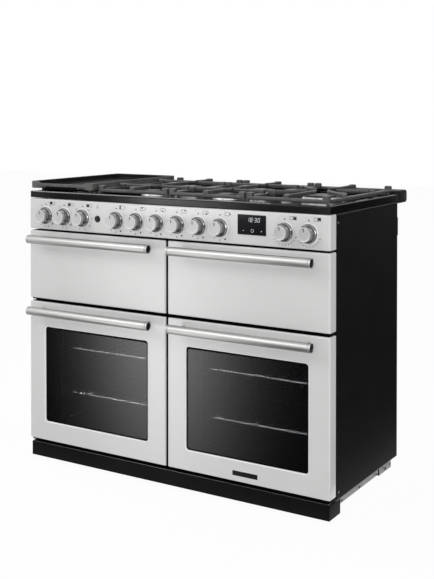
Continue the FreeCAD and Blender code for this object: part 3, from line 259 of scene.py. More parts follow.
knobGrain = dict(metal=1.0, space="UV", stretch=(1, 30, 1))
digitLight = dict(glow=(0.9, 0.95, 1.0), glowStrength=0.35)
looks = {  # colour, its variation, broad noise, roughness from and to, grain, bump, and what is not usual
    "whiteEnamel": ((0.73, 0.73, 0.725), 0.012, 3, (0.2, 0.28), 700, 0.02, dict(coat=0.75, coatRough=0.1)),
    "satinBlack": ((0.0075, 0.0075, 0.008), 0.25, 9, (0.42, 0.55), 1600, 0.12, dict(specular=0.06)),
    "plinthBlack": ((0.005, 0.005, 0.0054), 0.2, 12, (0.35, 0.46), 1300, 0.08, dict(specular=0.07)),
    "hobEnamel": ((0.005, 0.005, 0.0055), 0.2, 8, (0.09, 0.15), 900, 0.02, dict(specular=0.24)),
    "castIron": ((0.072, 0.072, 0.0725), 0.22, 40, (0.28, 0.4), 1500, 0.15, {}),
    "griddleIron": ((0.11, 0.1075, 0.105), 0.2, 25, (0.4, 0.55), 1200, 0.18, dict(specular=0.4)),
    "panIron": ((0.016, 0.0157, 0.0153), 0.2, 25, (0.5, 0.65), 1200, 0.12, dict(specular=0.04)),
    "ventBlack": ((0.013, 0.013, 0.0135), 0.15, 9, (0.35, 0.45), 1200, 0.05, dict(specular=0.1)),
    "rimHighlightLine": ((0.3, 0.3, 0.3), 0.05, 20, (0.25, 0.35), 600, 0.02, {}),
    # a paler copy of the white enamel: painted highlight on the window lips and the bezel rings
    "paintedHighlightEnamel": ((0.95, 0.95, 0.945), 0.01, 3, (0.2, 0.28), 700, 0.02, dict(coat=0.25, coatRough=0.1)),
    "galvanised": ((0.36, 0.365, 0.37), 0.22, 60, (0.35, 0.55), 400, 0.05, dict(metal=0.85)),
    "satinSteel": ((0.56, 0.555, 0.55), 0.04, 6, (0.34, 0.4), 60, 0.015,
                   dict(metal=1.0, stretch=(1, 60, 60), rimTint=0.2)),
    "knobSatin": ((0.53, 0.53, 0.527), 0.05, 20, (0.3, 0.42), 50, 0.05, knobGrain),
    "knobBarrel": ((0.15, 0.15, 0.153), 0.05, 30, (0.1, 0.18), 300, 0.02, dict(metal=1.0, rimTint=0.1)),
    "knobFlange": ((0.3, 0.3, 0.3), 0.03, 30, (0.1, 0.16), 300, 0.02, dict(metal=1.0, rimTint=0.2)),
    "knobEdgeHighlight": ((0.75, 0.75, 0.745), 0.03, 30, (0.36, 0.42), 300, 0.02, dict(metal=0.9)),
    "chrome": ((0.7, 0.705, 0.71), 0.02, 30, (0.05, 0.12), 300, 0.01, dict(metal=1.0)),
    "darkCap": ((0.012, 0.012, 0.013), 0.2, 60, (0.12, 0.2), 900, 0.03, dict(specular=0.3)),
    # black for painted shade in gaps, slots, holes, under the griddle and on the shelf, and for the border on the
    # window glass
    "shadeAndBorderBlack": ((0.005, 0.005, 0.005), 0.2, 40, (0.55, 0.7), 1200, 0.05, dict(specular=0.03)),
    "flagGrey": ((0.04, 0.04, 0.04), 0.1, 3, (0.7, 0.8), 300, 0.02, dict(specular=0.05)),
    "ovenEnamel": ((0.012, 0.0125, 0.013), 0.25, 70, (0.25, 0.4), 1500, 0.08, {}),
    "windowGlass": ((0.004, 0.004, 0.005), 0.1, 4, (0.02, 0.04), 200, 0.002, dict(alpha=0.6, specular=1.0)),
    "innerGlass": ((0.004, 0.004, 0.005), 0.1, 4, (0.02, 0.04), 200, 0.002, dict(alpha=0.05, specular=0.2)),
    "clockGlass": ((0.006, 0.006, 0.008), 0.1, 20, (0.05, 0.09), 300, 0.004, dict(specular=0.2)),
    "wire": ((0.5, 0.51, 0.52), 0.08, 80, (0.28, 0.38), 500, 0.02, dict(metal=0.8)),
    "plainSteel": ((0.45, 0.455, 0.46), 0.08, 14, (0.3, 0.45), 90, 0.05, dict(metal=1.0, stretch=(1, 20, 20))),
    "elementTube": ((0.07, 0.068, 0.066), 0.3, 80, (0.4, 0.6), 900, 0.1, dict(metal=0.6)),
    "burnerAlloy": ((0.72, 0.72, 0.715), 0.1, 50, (0.35, 0.5), 900, 0.08, dict(metal=0.9)),
    "burnerEnamel": ((0.012, 0.012, 0.012), 0.2, 40, (0.35, 0.5), 1200, 0.1, dict(specular=0.3)),
    "sealRubber": ((0.02, 0.02, 0.02), 0.2, 60, (0.6, 0.75), 1200, 0.1, dict(specular=0.3)),
    "footPlastic": ((0.02, 0.02, 0.02), 0.2, 50, (0.45, 0.6), 1000, 0.08, dict(specular=0.3)),
    "printInk": ((0.02, 0.02, 0.021), 0.1, 90, (0.4, 0.5), 900, 0.02, dict(specular=0.2)),
    "digitGlow": ((0.7, 0.75, 0.78), 0.02, 60, (0.4, 0.5), 900, 0.01, digitLight),
}
for finishName, row in looks.items():
    finishes[finishName] = makeFinish(finishName, *row)
print("finishes:", len(finishes))

nodeFinish = {
    "satinBlack": ["side_panel_left", "side_panel_right", "front_frame", "hinge_brackets"],
    "galvanised": ["base_frame", "roller_brackets", "back_panel", "drawer_rails"],
    "ovenEnamel": ["oven_liners", "upper_liners", "fan_covers", "door_left_inner", "door_right_inner", "grill_pan"],
    "wire": ["oven_racks", "rack_guides"],
    "plainSteel": ["grill_carriage", "drawer_tray", "fan_left", "fan_right", "fan_motors", "control_bodies"],
    "clockGlass": ["clock_display"],
    "elementTube": ["heating_elements"],
    "sealRubber": ["door_seals"],
    "footPlastic": ["front_feet", "rear_rollers"],
}
for finishName, group in nodeFinish.items():
    for node in group:
        mesh = nodes[node].data
        mesh.materials.clear()
        mesh.materials.append(finishes[finishName])


# Places that the pieces share, read from the frame

def edgesOf(node):
    low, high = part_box(node)
    return (low.x, low.z, high.x, high.z)


def footprint(node):
    low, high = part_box(node)
    return (low.x, low.y, high.x, high.y)


def middleOf(node):
    low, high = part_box(node)
    return [(a + b) / 2 for a, b in zip(low, high)]


frontY, frontBackY = (corner.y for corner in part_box("control_panel"))
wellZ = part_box("pan_support_left")[0].z


# White fronts: a folded sheet with rounded edges, and the oven doors with a window

whiteFront = dict(edge=0.0042, corner=0.003, sheet=0.002, flat=0.0008, windowEdge=0.0038, windowCorner=0.009,
                  lip=0.004, lipProud=0.0002, lipThick=0.0008, lipStart=0.25, maskTop=0.006, maskSide=0.0045,
                  maskBottom=0.004, maskOuter=0.002, maskCorner=0.007, maskProud=0.0004, maskSunk=0.0003,
                  pane=0.004, paneCorner=0.004, paneEdge=0.0006)
windowMargin = dict(left=0.0655, right=0.0675, bottom=0.0632, top=0.0812)


def frontShell(edges, window=None):
    # outlines lofted from the inside of the sheet round its back edge, over the rounded edge to the face,
    # and on to the middle, or over a second rounded edge into the window and back inside
    w = whiteFront
    edge, corner, windowEdge, windowCorner = (w[k] for k in ("edge", "corner", "windowEdge", "windowCorner"))
    rings = [plateRing(edges, -w["sheet"], corner, frontY + w["lip"]),
             plateRing(edges, -w["sheet"], corner, frontBackY), plateRing(edges, 0, corner, frontBackY)]
    rings += [plateRing(edges, -edge * i, corner + edge * i, frontY + edge * k) for i, k in quarterTurn(7)]
    rings.append(plateRing(edges, -edge - w["flat"], corner + edge, frontY))   # keeps the face flat
    if window is None:
        return closed(rings)
    rings.append(plateRing(window, windowEdge + w["flat"], windowCorner, frontY))
    rings += [plateRing(window, windowEdge * k, windowCorner, frontY + windowEdge * i) for i, k in quarterTurn(7)]
    return np.stack(rings + [plateRing(window, 0, windowCorner, frontY + w["lip"])])


# painted shade: dark strips in the gaps round the fronts
gapShadeLook = dict(start=0.0055, proud=0.0003, sunk=0.0006, outer=0.006, edge=0.0001, back=0.0005, middle=0.1)


def paintedGapShade(node, which):
    # painted shade: thin dark strips on the top, bottom and inner edges, behind the rounded front edge, where the gaps
    # between the fronts lie in shade
    e = gapShadeLook
    proud, sunk = e["proud"], e["sunk"]
    x0, z0, x1, z1 = edgesOf(node)
    isLeft, isRight = x0 < -e["middle"], x1 > e["middle"]
    startX, endX = x0 + (e["outer"] if isLeft else sunk), x1 - (e["outer"] if isRight else sunk)
    spans = {"top": (startX, z1 - sunk, endX, z1 + proud), "bottom": (startX, z0 - proud, endX, z0 + sunk),
             "inner": (x1 - sunk, z0, x1 + proud, z1) if isLeft else (x0 - proud, z0, x0 + sunk, z1)}
    return [plate(spans[k], e["edge"], frontY + e["start"], frontBackY - e["back"], e["edge"]) for k in which]


def windowOf(node):
    x0, z0, x1, z1 = edgesOf(node)
    m = windowMargin
    return (x0 + m["left"], z0 + m["bottom"], x1 - m["right"], z1 - m["top"])


def windowLipHighlight(window):
    # painted highlight: the rounded edge of the window once more, a little proud and in paler enamel to show the light
    # caught on the lip: an arc out and an arc back
    w = whiteFront
    edge = w["windowEdge"]
    turn = np.linspace(w["lipStart"], np.pi / 2, 7)
    rings = []
    for radius, turns in ((edge + w["lipProud"], turn), (edge - w["lipThick"], turn[::-1])):
        rings += [plateRing(window, edge - radius * math.sin(t), w["windowCorner"],
                            frontY + edge - radius * math.cos(t)) for t in turns]
    return np.stack(rings)


def windowMask(window, glassY):
    # the dark border printed on the glass: a flat ring from behind the sheet's edge to an inner outline
    w = whiteFront
    x0, z0, x1, z1 = window
    inner = ((x0 + w["maskSide"], z0 + w["maskBottom"], x1 - w["maskSide"], z1 - w["maskTop"]), 0, w["maskCorner"])
    outer = (window, w["maskOuter"], w["windowCorner"])
    front, back = glassY - w["maskProud"], glassY + w["maskSunk"]
    return np.stack([plateRing(*ring, y) for ring, y in ((outer, front), (inner, front), (inner, back), (outer, back))])


def addDoor(side):
    node, glass, body = f"door_{side}_front", f"door_{side}_glass", f"oven_door_{side}"
    window = windowOf(node)
    glassFront, glassBack = (corner.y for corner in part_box(glass))
    thick, corner, edge = (whiteFront[k] for k in ("pane", "paneCorner", "paneEdge"))
    addPiece("white_" + node, [frontShell(edgesOf(node), window)], "whiteEnamel", body, "white_enamel", node,
             looped=True)
    # painted shade in the gaps round the door
    addPiece(node + "_gap_shade", paintedGapShade(node, ["top", "bottom", "inner"]), "shadeAndBorderBlack", body, "black_sheet")
    addPiece(f"window_lip_highlight_{side}", [windowLipHighlight(window)], "paintedHighlightEnamel", body, "white_enamel", looped=True)
    pane = plate(edgesOf(glass), corner, glassFront, glassFront + thick, edge)
    addPiece(f"window_pane_{side}", [pane], "windowGlass", body, "window_glass", glass)
    pane = plate(edgesOf(glass), corner, glassBack - thick, glassBack, edge)
    addPiece(f"inner_pane_{side}", [pane], "innerGlass", body, "window_glass")
    addPiece(f"window_mask_{side}", [windowMask(window, glassFront)], "shadeAndBorderBlack", body, "black_sheet", looped=True)


for node, body in (("control_panel", "carcass"), ("grill_front", "grill"), ("drawer_front", "drawer")):
    addPiece("white_" + node, [frontShell(edgesOf(node))], "whiteEnamel", body, "white_enamel", node)
    # painted shade in the gaps round each front
    which = ["bottom"] if node == "control_panel" else ["top", "bottom", "inner"]
    addPiece(node + "_gap_shade", paintedGapShade(node, which), "shadeAndBorderBlack", body, "black_sheet")
for side, sign in bothSides:
    addDoor(side)
print("fronts done")


# Handles: a turned bar with a collar and a dark cap at each end, on turned posts

handleLook = dict(radius=0.0133, soft=0.0012, collar=0.0062, groove=0.0016, capRadius=0.0126, capDeep=0.0015,
                  dome=((0, 0.0004), (0.72, 0.0007), (0.95, 0.0016), (1, 0.004), (0, 0.004)), postRadius=0.005,
                  postStart=0.6, postSoft=0.001, footRadius=0.0054, footLong=0.004, postInset=0.03)


def addHandle(node, body):
    h = handleLook
    low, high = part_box(node)
    span = high.x - low.x
    y, z = low.y + h["radius"], (low.z + high.z) / 2
    r, c, g, cap, deep = (h[k] for k in ("radius", "collar", "groove", "capRadius", "capDeep"))
    half = [(0, deep), (cap, deep), (cap, 0), (r, 0), (r, c), (r - g, c), (r - g, c + g), (r, c + g)]
    profile = half + [(a, span - b) for a, b in half[::-1]]
    addPiece(node + "_bar", [spin(softCorners(profile, h["soft"]), (low.x, y, z), "right", 72)], "satinSteel", body,
             "handle_steel", node)
    caps = [spin(np.array(h["dome"]) * (cap, way), (x, y, z), "right", 48) for x, way in ((low.x, 1), (high.x, -1))]
    addPiece(node + "_caps", caps, "plinthBlack", body, "handle_steel")
    reach, post, foot = frontY - y, h["postRadius"], h["footRadius"]
    profile = [(0, r * h["postStart"]), (post, r * h["postStart"]), (post, reach - h["footLong"] * 2),
               (foot, reach - h["footLong"]), (foot, reach), (0, reach)]
    posts = [spin(softCorners(profile, h["postSoft"]), (x, y, z), "back", 40)
             for x in (low.x + h["postInset"], high.x - h["postInset"])]
    addPiece(node + "_posts", posts, "satinSteel", body, "handle_steel")


for node, body in (("grill_handle", "grill"), ("drawer_handle", "drawer"), ("door_left_handle", "oven_door_left"),
                   ("door_right_handle", "oven_door_right")):
    addHandle(node, body)
print("handles done")


# Knobs: a satin cap with a dark mark, a dark barrel and a flange, on a pale ring; the pale edge ring and the pale bezel
# ring are painted highlight

knobLook = dict(base=0.003, face=0.0200, rim=(0.0022, 0.003), dish=0.0004, cap=0.0207, capLong=0.0135, capStep=0.0012,
                capBevel=0.0016, capSoft=0.0007, neck=0.0182, barrel=0.0245, taper=0.0012, shoulder=(0.003, 0.0008),
                tuck=0.001, barrelSoft=0.0013, flare=0.0248, flange=0.0276, flangeLow=0.0032, flangeHigh=0.0075,
                flangeSoft=0.0009, edgeWide=0.0017, edgeDeep=0.0021, edgeDrop=0.0014, proud=0.0001, markWide=0.0025,
                markLong=0.0105, markTop=0.0178, markCorner=0.0006, markDeep=0.0012, markEdge=0.0003, ring=0.0295,
                ringBore=0.008, ringHigh=0.0025, ringBevel=0.0017)
knobNodes = sorted(n for n in nodes if n.startswith("knob_") and n != "knob_bezels")


def addKnob(node):
    k = knobLook
    x, _, z = middleOf(node)
    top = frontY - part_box(node)[0].y           # how far the face stands out of the panel
    base, face, capR, neck, proud = (k[word] for word in ("base", "face", "cap", "neck", "proud"))
    capBase, flangeLow, flangeHigh = top - k["capLong"], base + k["flangeLow"], base + k["flangeHigh"]
    cap = [(0, capBase), (neck, capBase), (capR, capBase + k["capStep"]), (capR, top - k["capBevel"]), (face, top),
           (face - k["rim"][0], top), (face - k["rim"][1], top - k["dish"]), (0, top - k["dish"])]
    flange = [(0, base), (k["flange"], base), (k["flange"], flangeLow), (k["flare"], flangeHigh), (0, flangeHigh)]
    edge = [(face - k["edgeWide"], top + proud), (face, top + proud), (capR + proud, top - k["edgeDrop"]),
            (capR + proud, top - k["edgeDeep"]), (face - k["edgeWide"], top - k["edgeDeep"])]
    barrel = [(0, flangeLow), (k["barrel"], flangeLow), (k["barrel"] - k["taper"], capBase - k["shoulder"][0]),
              (neck, capBase - k["shoulder"][1]), (neck, capBase + k["tuck"]), (0, capBase + k["tuck"])]
    turned = {"cap": (softCorners(cap, k["capSoft"]), "knobSatin", dict(replaced=node, sharp=50)),
              "flange": (softCorners(flange, k["flangeSoft"]), "knobFlange", dict(sharp=50)),
              # the edge ring is paler metal than the cap: a painted highlight on the cap's bevel
              "edge": (edge, "knobEdgeHighlight", dict(looped=True)),
              "barrel": (softCorners(barrel, k["barrelSoft"]), "knobBarrel", dict(sharp=50))}
    for word, (profile, finish, more) in turned.items():
        shell = spin(profile, (x, frontY, z), "front", 72)
        addPiece(f"{node}_{word}", [shell], finish, node + "_turner", "knob_metal", **more)
    mark = (x - k["markWide"] / 2, z + k["markTop"] - k["markLong"], x + k["markWide"] / 2, z + k["markTop"])
    shell = plate(mark, k["markCorner"], frontY - top - proud, frontY - top + k["markDeep"], k["markEdge"])
    addPiece(node + "_mark", [shell], "printInk", node + "_turner", "knob_metal")
    return x, z


def bezelRing(x, z):
    bore, r, high, bevel = (knobLook[word] for word in ("ringBore", "ring", "ringHigh", "ringBevel"))
    return spin([(bore, 0), (r, 0), (r, high - bevel), (r - bevel, high), (bore, high)], (x, frontY, z), "front")


knobAt = {node: addKnob(node) for node in knobNodes}
# painted highlight: the bezel rings are drawn in the pale highlight enamel
addPiece("bezel_rings", [bezelRing(*at) for at in knobAt.values()], "paintedHighlightEnamel", "carcass", "bezel_chrome",
         "knob_bezels", looped=True)
print("knobs done:", len(knobAt))


# Print on the panel: dots round each knob and small maps of the zones

panelPrint = dict(thick=0.00015, sink=0.0001, corner=0.0002, edge=0.00005, ring=0.0372, iconX=0.0275, iconZ=0.041,
                  cell=0.0102, cellGap=0.0014, line=0.0009, fill=0.8, mapWide=1.9, mapPoint=0.72,
                  mapBar=(-0.24, -0.02), barOver=0.0006, flameDown=0.004)
dotSize = dict(small=0.00153, plain=0.0018, top=0.00216, map=0.00243, big=0.0027)
dotRows = {  # turns from the right, in degrees, and the size of the dots there
    "mode": (([90], "top"), ([118, 62, -75, -100, -125], "small"), ([-42], "big")),
    "heat": (([90], "top"), ([135, 45, 0, -40, -75, -108, -140], "plain")),
    "dial": (([90], "top"), (np.linspace(-22, -146, 9), "small"), ([-163], "big")),
    "gas": (([90], "top"), ([-92, -122], "plain"), ([-62], "big")),
}
printedKnobs = {  # the kind of dots, and the filled half cell or the burner's place on the map
    "knob_grill": ("mode", (0, 1)), "knob_left_oven_mode": ("mode", (0, 0)), "knob_left_oven_heat": ("heat", (0, 0)),
    "knob_right_oven_heat": ("dial", (1, 0)), "knob_proving_drawer": ("dial", (1, 1)),
    "knob_griddle_burner": ("gas", None), "knob_burner_1": ("gas", (0.35, 0.75)),
    "knob_burner_2": ("gas", (0.35, 0.25)), "knob_burner_3": ("gas", (0.6, 0.75)),
    "knob_burner_4": ("gas", (0.6, 0.25)), "knob_burner_5": ("gas", (0.87, 0.5)),
}
flamePoints = ((0, 0.0052), (0.0027, 0.0008), (0.0021, -0.0028), (-0.0021, -0.0028), (-0.0027, 0.0008))


def dotShell(x, z, size):
    radius, thick = dotSize[size], panelPrint["thick"]
    return spin([(0, 0), (radius, 0), (radius, thick), (0, thick)], (x, frontY, z), "front", 16)


def boxShell(*edges):
    p = panelPrint
    return plate(edges, p["corner"], frontY - p["thick"], frontY + p["sink"], p["edge"])


def dotsAround(x, z, turns, size):
    turn, ring = np.radians(turns), panelPrint["ring"]
    return [dotShell(px, pz, size) for px, pz in zip(x + ring * np.cos(turn), z + ring * np.sin(turn))]


def zoneMap(x, z, filled):
    # two framed cells side by side; most of one is filled, from its bottom or its top
    p = panelPrint
    cell, t = p["cell"], p["line"]
    left, low = x + p["iconX"] - cell - p["cellGap"], z + p["iconZ"] - cell / 2
    shells = []
    for column in (0, 1):
        x0, z0 = left + column * (cell + p["cellGap"]), low
        x1, z1 = x0 + cell, z0 + cell
        shells += [boxShell(x0, z0, x1, z0 + t), boxShell(x0, z1 - t, x1, z1), boxShell(x0, z0 + t, x0 + t, z1 - t),
                   boxShell(x1 - t, z0 + t, x1, z1 - t)]
        if column == filled[0]:
            fillZ = low + filled[1] * cell * (1 - p["fill"])
            shells.append(boxShell(x0, fillZ, x1, fillZ + cell * p["fill"]))
    return shells


def penLines(corners):
    # thin printed lines round a figure on the panel, each a flat four-sided plate
    p, shells = panelPrint, []
    for start, end in zip(corners, np.roll(corners, -1, axis=0)):
        along = (end - start) / np.linalg.norm(end - start) * p["line"] / 2
        across = np.array([-along[1], along[0]])
        flat = np.array([start - along - across, end + along - across, end + along + across, start - along + across])
        shells.append(closed([np.insert(flat, 1, y, axis=1) for y in (frontY + p["sink"], frontY - p["thick"])]))
    return shells


def burnerMap(x, z, place):
    # a hob outline that comes to a point on the right, with a dot where the burner is or a bar for the griddle
    p = panelPrint
    left, low = x + p["iconX"] - p["cell"], z + p["iconZ"] - p["cell"] / 2
    wide, tall = p["cell"] * p["mapWide"], p["cell"]
    point = left + wide * p["mapPoint"]
    shells = penLines(np.array([(left, low), (point, low), (left + wide, low + tall / 2), (point, low + tall),
                                (left, low + tall)]))
    if place:
        return shells + [dotShell(left + wide * place[0], low + tall * place[1], "map")]
    barX = [left + wide * share for share in p["mapBar"]]
    return shells + [boxShell(barX[0], low - p["barOver"], barX[1], low + tall + p["barOver"])]


printShells = []
for node, (kind, place) in printedKnobs.items():
    printShells += burnerMap(*knobAt[node], place) if kind == "gas" else zoneMap(*knobAt[node], place)
    for turns, size in dotRows[kind]:
        printShells += dotsAround(*knobAt[node], turns, size)
buttonX, _, buttonZ = middleOf("ignition_button")
printShells += penLines(np.array(flamePoints) + (buttonX, buttonZ + panelPrint["iconZ"] - panelPrint["flameDown"]))
addPiece("panel_print", printShells, "printInk", "carcass", "button_black")
print("panel print:", len(printShells), "marks")


# Ignition button: a dished cap in a thin ring

buttonLook = dict(radius=0.0085, dish=0.0012, dishAt=(0.55, 0.6), crest=0.86, bevel=0.0012, soft=0.0006, deep=0.006,
                  gap=0.0004, ringRadius=0.0108, ringLow=-0.001, ringHigh=(0.0012, 0.0016))


def addButton():
    b = buttonLook
    r, deep, inner = b["radius"], b["deep"], b["radius"] + b["gap"]
    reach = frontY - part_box("ignition_button")[0].y
    cap = [(0, reach - b["dish"]), (r * b["dishAt"][0], reach - b["dish"] * b["dishAt"][1]), (r * b["crest"], reach),
           (r, reach - b["bevel"]), (r, -deep), (0, -deep)]
    ring = [(inner, b["ringLow"]), (b["ringRadius"], b["ringLow"]), (b["ringRadius"], b["ringHigh"][0]),
            (inner, b["ringHigh"][1])]
    cap, ring = (spin(p, (buttonX, frontY, buttonZ), "front", 48) for p in (softCorners(cap, b["soft"]), ring))
    addPiece("button_cap", [cap], "darkCap", "button", "button_black", "ignition_button")
    addPiece("button_ring", [ring], "darkCap", "carcass", "button_black", looped=True)


addButton()


# Clock: digits of seven strokes and three touch marks on the glass

clockLook = dict(digits="1830", digitWide=0.0066, digitTall=0.012, stroke=0.00095, strokeGap=0.25, step=0.0104,
                 steps=4.35, pause=0.35, right=0.0165, top=0.0085, lean=0.12, proud=0.00012, sink=0.0001, corner=0.0005,
                 edge=0.00005, colonBack=0.0005, colonHigh=(0.3, 0.68), markUp=0.012, markRight=0.0025, markOut=0.03,
                 markHalf=0.0022, markThin=0.0004, ring=(0.0041, 0.0048))
strokeSets = {"1": "bc", "8": "abcdefg", "3": "abcdg", "0": "abcdef"}
clockLow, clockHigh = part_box("clock_display")


def strokeShell(edges, leanFrom):
    c = clockLook
    shell = plate(edges, c["corner"], clockLow.y - c["proud"], clockLow.y + c["sink"], c["edge"])
    shell[..., 0] += (shell[..., 2] - leanFrom) * c["lean"]
    return shell


def digitShells(digit, x, z):
    c = clockLook
    w, h, s = c["digitWide"], c["digitTall"], c["stroke"]
    g = s * c["strokeGap"]
    spans = {
        "a": (x + g, z + h - s, x + w - g, z + h), "d": (x + g, z, x + w - g, z + s),
        "g": (x + g, z + h / 2 - s / 2, x + w - g, z + h / 2 + s / 2),
        "f": (x, z + h / 2 + g, x + s, z + h - g), "b": (x + w - s, z + h / 2 + g, x + w, z + h - g),
        "e": (x, z + g, x + s, z + h / 2 - g), "c": (x + w - s, z + g, x + w, z + h / 2 - g),
    }
    return [strokeShell(spans[word], z) for word in strokeSets[digit]]


def addClock():
    c = clockLook
    step, s, half, thin, out = (c[k] for k in ("step", "stroke", "markHalf", "markThin", "markOut"))
    x = clockHigh.x - c["right"] - step * c["steps"]
    z = clockHigh.z - c["top"] - c["digitTall"]
    shells = []
    for i, digit in enumerate(c["digits"]):
        shells += digitShells(digit, x + step * (i + (c["pause"] if i > 1 else 0)), z)
    colonX = x + step * 2 - c["colonBack"]
    for lift in c["colonHigh"]:
        dotZ = z + c["digitTall"] * lift
        shells.append(strokeShell((colonX, dotZ, colonX + s, dotZ + s), z))
    markX, markZ = (clockLow.x + clockHigh.x) / 2 + c["markRight"], clockLow.z + c["markUp"]
    for offset, wide, tall in ((-out, half, thin), (out, half, thin), (out, thin, half)):
        mark = (markX + offset - wide, markZ - tall, markX + offset + wide, markZ + tall)
        shells.append(strokeShell(mark, markZ))
    addPiece("clock_digits", shells, "digitGlow", "carcass", "clock_glass")
    inner, outer = c["ring"]
    ring = [(inner, -c["sink"]), (outer, -c["sink"]), (outer, c["proud"]), (inner, c["proud"])]
    addPiece("clock_ring", [spin(ring, (markX, clockLow.y, markZ), "front", 40)], "digitGlow", "carcass", "clock_glass",
             looped=True)


addClock()
print("clock done")


# Blank plate on the right door: a bright rim and a dark face

plateLook = dict(left=0.2325, low=0.0905, wide=0.0845, tall=0.0155, inset=0.0007, proud=0.0014, rimShare=0.8,
                 rimSink=0.0002, rimCorner=0.0012, rimEdge=0.0005, faceCorner=0.0009, faceEdge=0.0004)


def addPlate():
    p = plateLook
    x0, z0, x1, z1 = edges = (p["left"], p["low"], p["left"] + p["wide"], p["low"] + p["tall"])
    rim = plate(edges, p["rimCorner"], frontY - p["proud"] * p["rimShare"], frontY + p["rimSink"], p["rimEdge"])
    addPiece("blank_plate_rim", [rim], "chrome", "oven_door_right", "bezel_chrome")
    inner = (x0 + p["inset"], z0 + p["inset"], x1 - p["inset"], z1 - p["inset"])
    face = plate(inner, p["faceCorner"], frontY - p["proud"], frontY, p["faceEdge"])
    addPiece("blank_plate_face", [face], "darkCap", "oven_door_right", "button_black")


addPlate()


# Hob: one pressed skin with a rounded rim and a sunken well, and a painted highlight: a pale line on the rim's edge

hobLook = dict(corner=0.006, wellCorner=0.012, wellFrom=-0.01, lift=0.0025, rim=0.0175, outerRound=0.0045,
               innerRound=0.003, sheet=0.002, fillet=0.004, hem=0.0003, flat=0.0006, wellFlat=0.0008)
rimHighlightLook = dict(start=-0.535, end=0.36, inset=0.0013, wide=0.0026, lowLeft=0.0032, lowRight=0.0016, power=2.5)


def hobShell():
    # outlines lofted from under the well, down inside the rim, round its bottom edge and over the top into the well
    h = hobLook
    rim, outer, inner, fillet, hem, flat = (h[k] for k in ("rim", "outerRound", "innerRound", "fillet", "hem", "flat"))
    low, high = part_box("hob_top")
    top, bottom = high.z, low.z + h["lift"]       # the lift leaves a dark gap over the panel
    stations = [(-h["sheet"], wellZ - h["sheet"]), (-h["sheet"], bottom), (-hem, bottom), (0, bottom + hem),
                (0, top - outer - flat)]
    stations += [(-outer * i, top - outer * k) for i, k in quarterTurn()]
    stations += [(-outer - flat, top), (-rim + inner + flat, top)]
    stations += [(-rim + inner * k, top - inner * i) for i, k in quarterTurn()]
    stations += [(-rim - fillet * i, wellZ + fillet * k) for i, k in quarterTurn()]
    stations.append((-rim - fillet - h["wellFlat"], wellZ))
    return closed([trayRing(footprint("hob_top"), grow, h["corner"] + h["wellCorner"] * (grow < h["wellFrom"]), z)
                   for grow, z in stations])


def rimHighlightLine():
    # painted highlight: a pale bar along the rim's front edge, thinner towards the right
    b = rimHighlightLook
    low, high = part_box("hob_top")
    y = low.y + b["inset"]
    lowZ = [high.z - b["lowLeft"], high.z - b["lowRight"]]
    return bar((b["start"], y), (b["end"], y), b["wide"], lowZ, high.z, b["power"])


addPiece("hob_pressing", [hobShell()], "hobEnamel", "carcass", "black_hob", "hob_top", sharp=40)
addPiece("rim_highlight_line", [rimHighlightLine()], "rimHighlightLine", "carcass", "black_hob")


# Rear vent trim: a rounded section carried along the back, with a row of slots on top whose dark is painted shade

ventLook = dict(corner=0.011, edge=0.003, slotWide=0.006, slotLong=0.04, slotCorner=0.0028, pitch=0.026, count=36,
                proud=0.0002, deep=0.002)


def ventShell():
    v = ventLook
    low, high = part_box("rear_vent_trim")
    tip = [(-v["edge"] * i, v["edge"] * k) for i, k in quarterTurn(5)]
    stations = [(low.x + k, grow) for grow, k in tip[::-1]] + [(high.x - k, grow) for grow, k in tip]
    edges = (low.y, low.z, high.y, high.z)
    return closed([np.insert(outline(edges, grow, v["corner"]), 0, x, axis=1) for x, grow in stations])


def ventSlots():
    # painted shade: each slot is a dark block set into the top
    v = ventLook
    half, top = v["slotWide"] / 2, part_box("rear_vent_trim")[1].z
    y = middleOf("rear_vent_trim")[1] - v["slotLong"] / 2
    return [block((x - half, y, x + half, y + v["slotLong"]), v["slotCorner"], top - v["deep"], top + v["proud"])
            for x in (np.arange(v["count"]) - (v["count"] - 1) / 2) * v["pitch"]]


addPiece("vent_trim_cover", [ventShell()], "ventBlack", "carcass", "black_hob", "rear_vent_trim")
addPiece("vent_slots", ventSlots(), "shadeAndBorderBlack", "carcass", "black_hob")


# Folded top edges of the side panels, drawn paler than the panels: a painted highlight

foldHighlightLook = dict(inset=0.0002, front=0.001, back=0.006, wide=0.0022, low=0.0032, high=0.0006, power=2.5)
for side, sign in bothSides:
    low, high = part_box("side_panel_" + side)
    edgeX = sign * (max(abs(low.x), abs(high.x)) - foldHighlightLook["inset"])
    fold = bar((edgeX, low.y + foldHighlightLook["front"]), (edgeX, high.y - foldHighlightLook["back"]), foldHighlightLook["wide"],
               high.z - foldHighlightLook["low"], high.z - foldHighlightLook["high"], foldHighlightLook["power"])
    # painted highlight: the fold is drawn in the paler cast iron finish so its top edge reads light
    addPiece(f"side_fold_highlight_{side}", [fold], "castIron", "carcass", "black_sheet")


# Plinth: a board with soft edges, and a dark sheet on the shelf behind it: painted shade where the gap behind the board
# lies in shade

plinthLook = dict(corner=0.0015, edge=0.0025, shadeSide=0.004, shadeFront=0.001, shadeBack=0.02, coverHalf=0.0004,
                  shadeCorner=0.001)


def addPlinth():
    p = plinthLook
    low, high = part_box("plinth")
    board = plate(edgesOf("plinth"), p["corner"], low.y, high.y, p["edge"])
    addPiece("plinth_board", [board], "plinthBlack", "carcass", "black_sheet", "plinth")
    shelfZ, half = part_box("base_frame")[1].z, p["coverHalf"]
    edges = (low.x + p["shadeSide"], low.y + p["shadeFront"], high.x - p["shadeSide"], frontBackY + p["shadeBack"])
    # painted shade: a dark sheet over the shelf behind the plinth
    shelfShade = block(edges, p["shadeCorner"], shelfZ - half, shelfZ + half)
    addPiece("shelf_painted_shade", [shelfShade], "shadeAndBorderBlack", "carcass", "black_sheet")


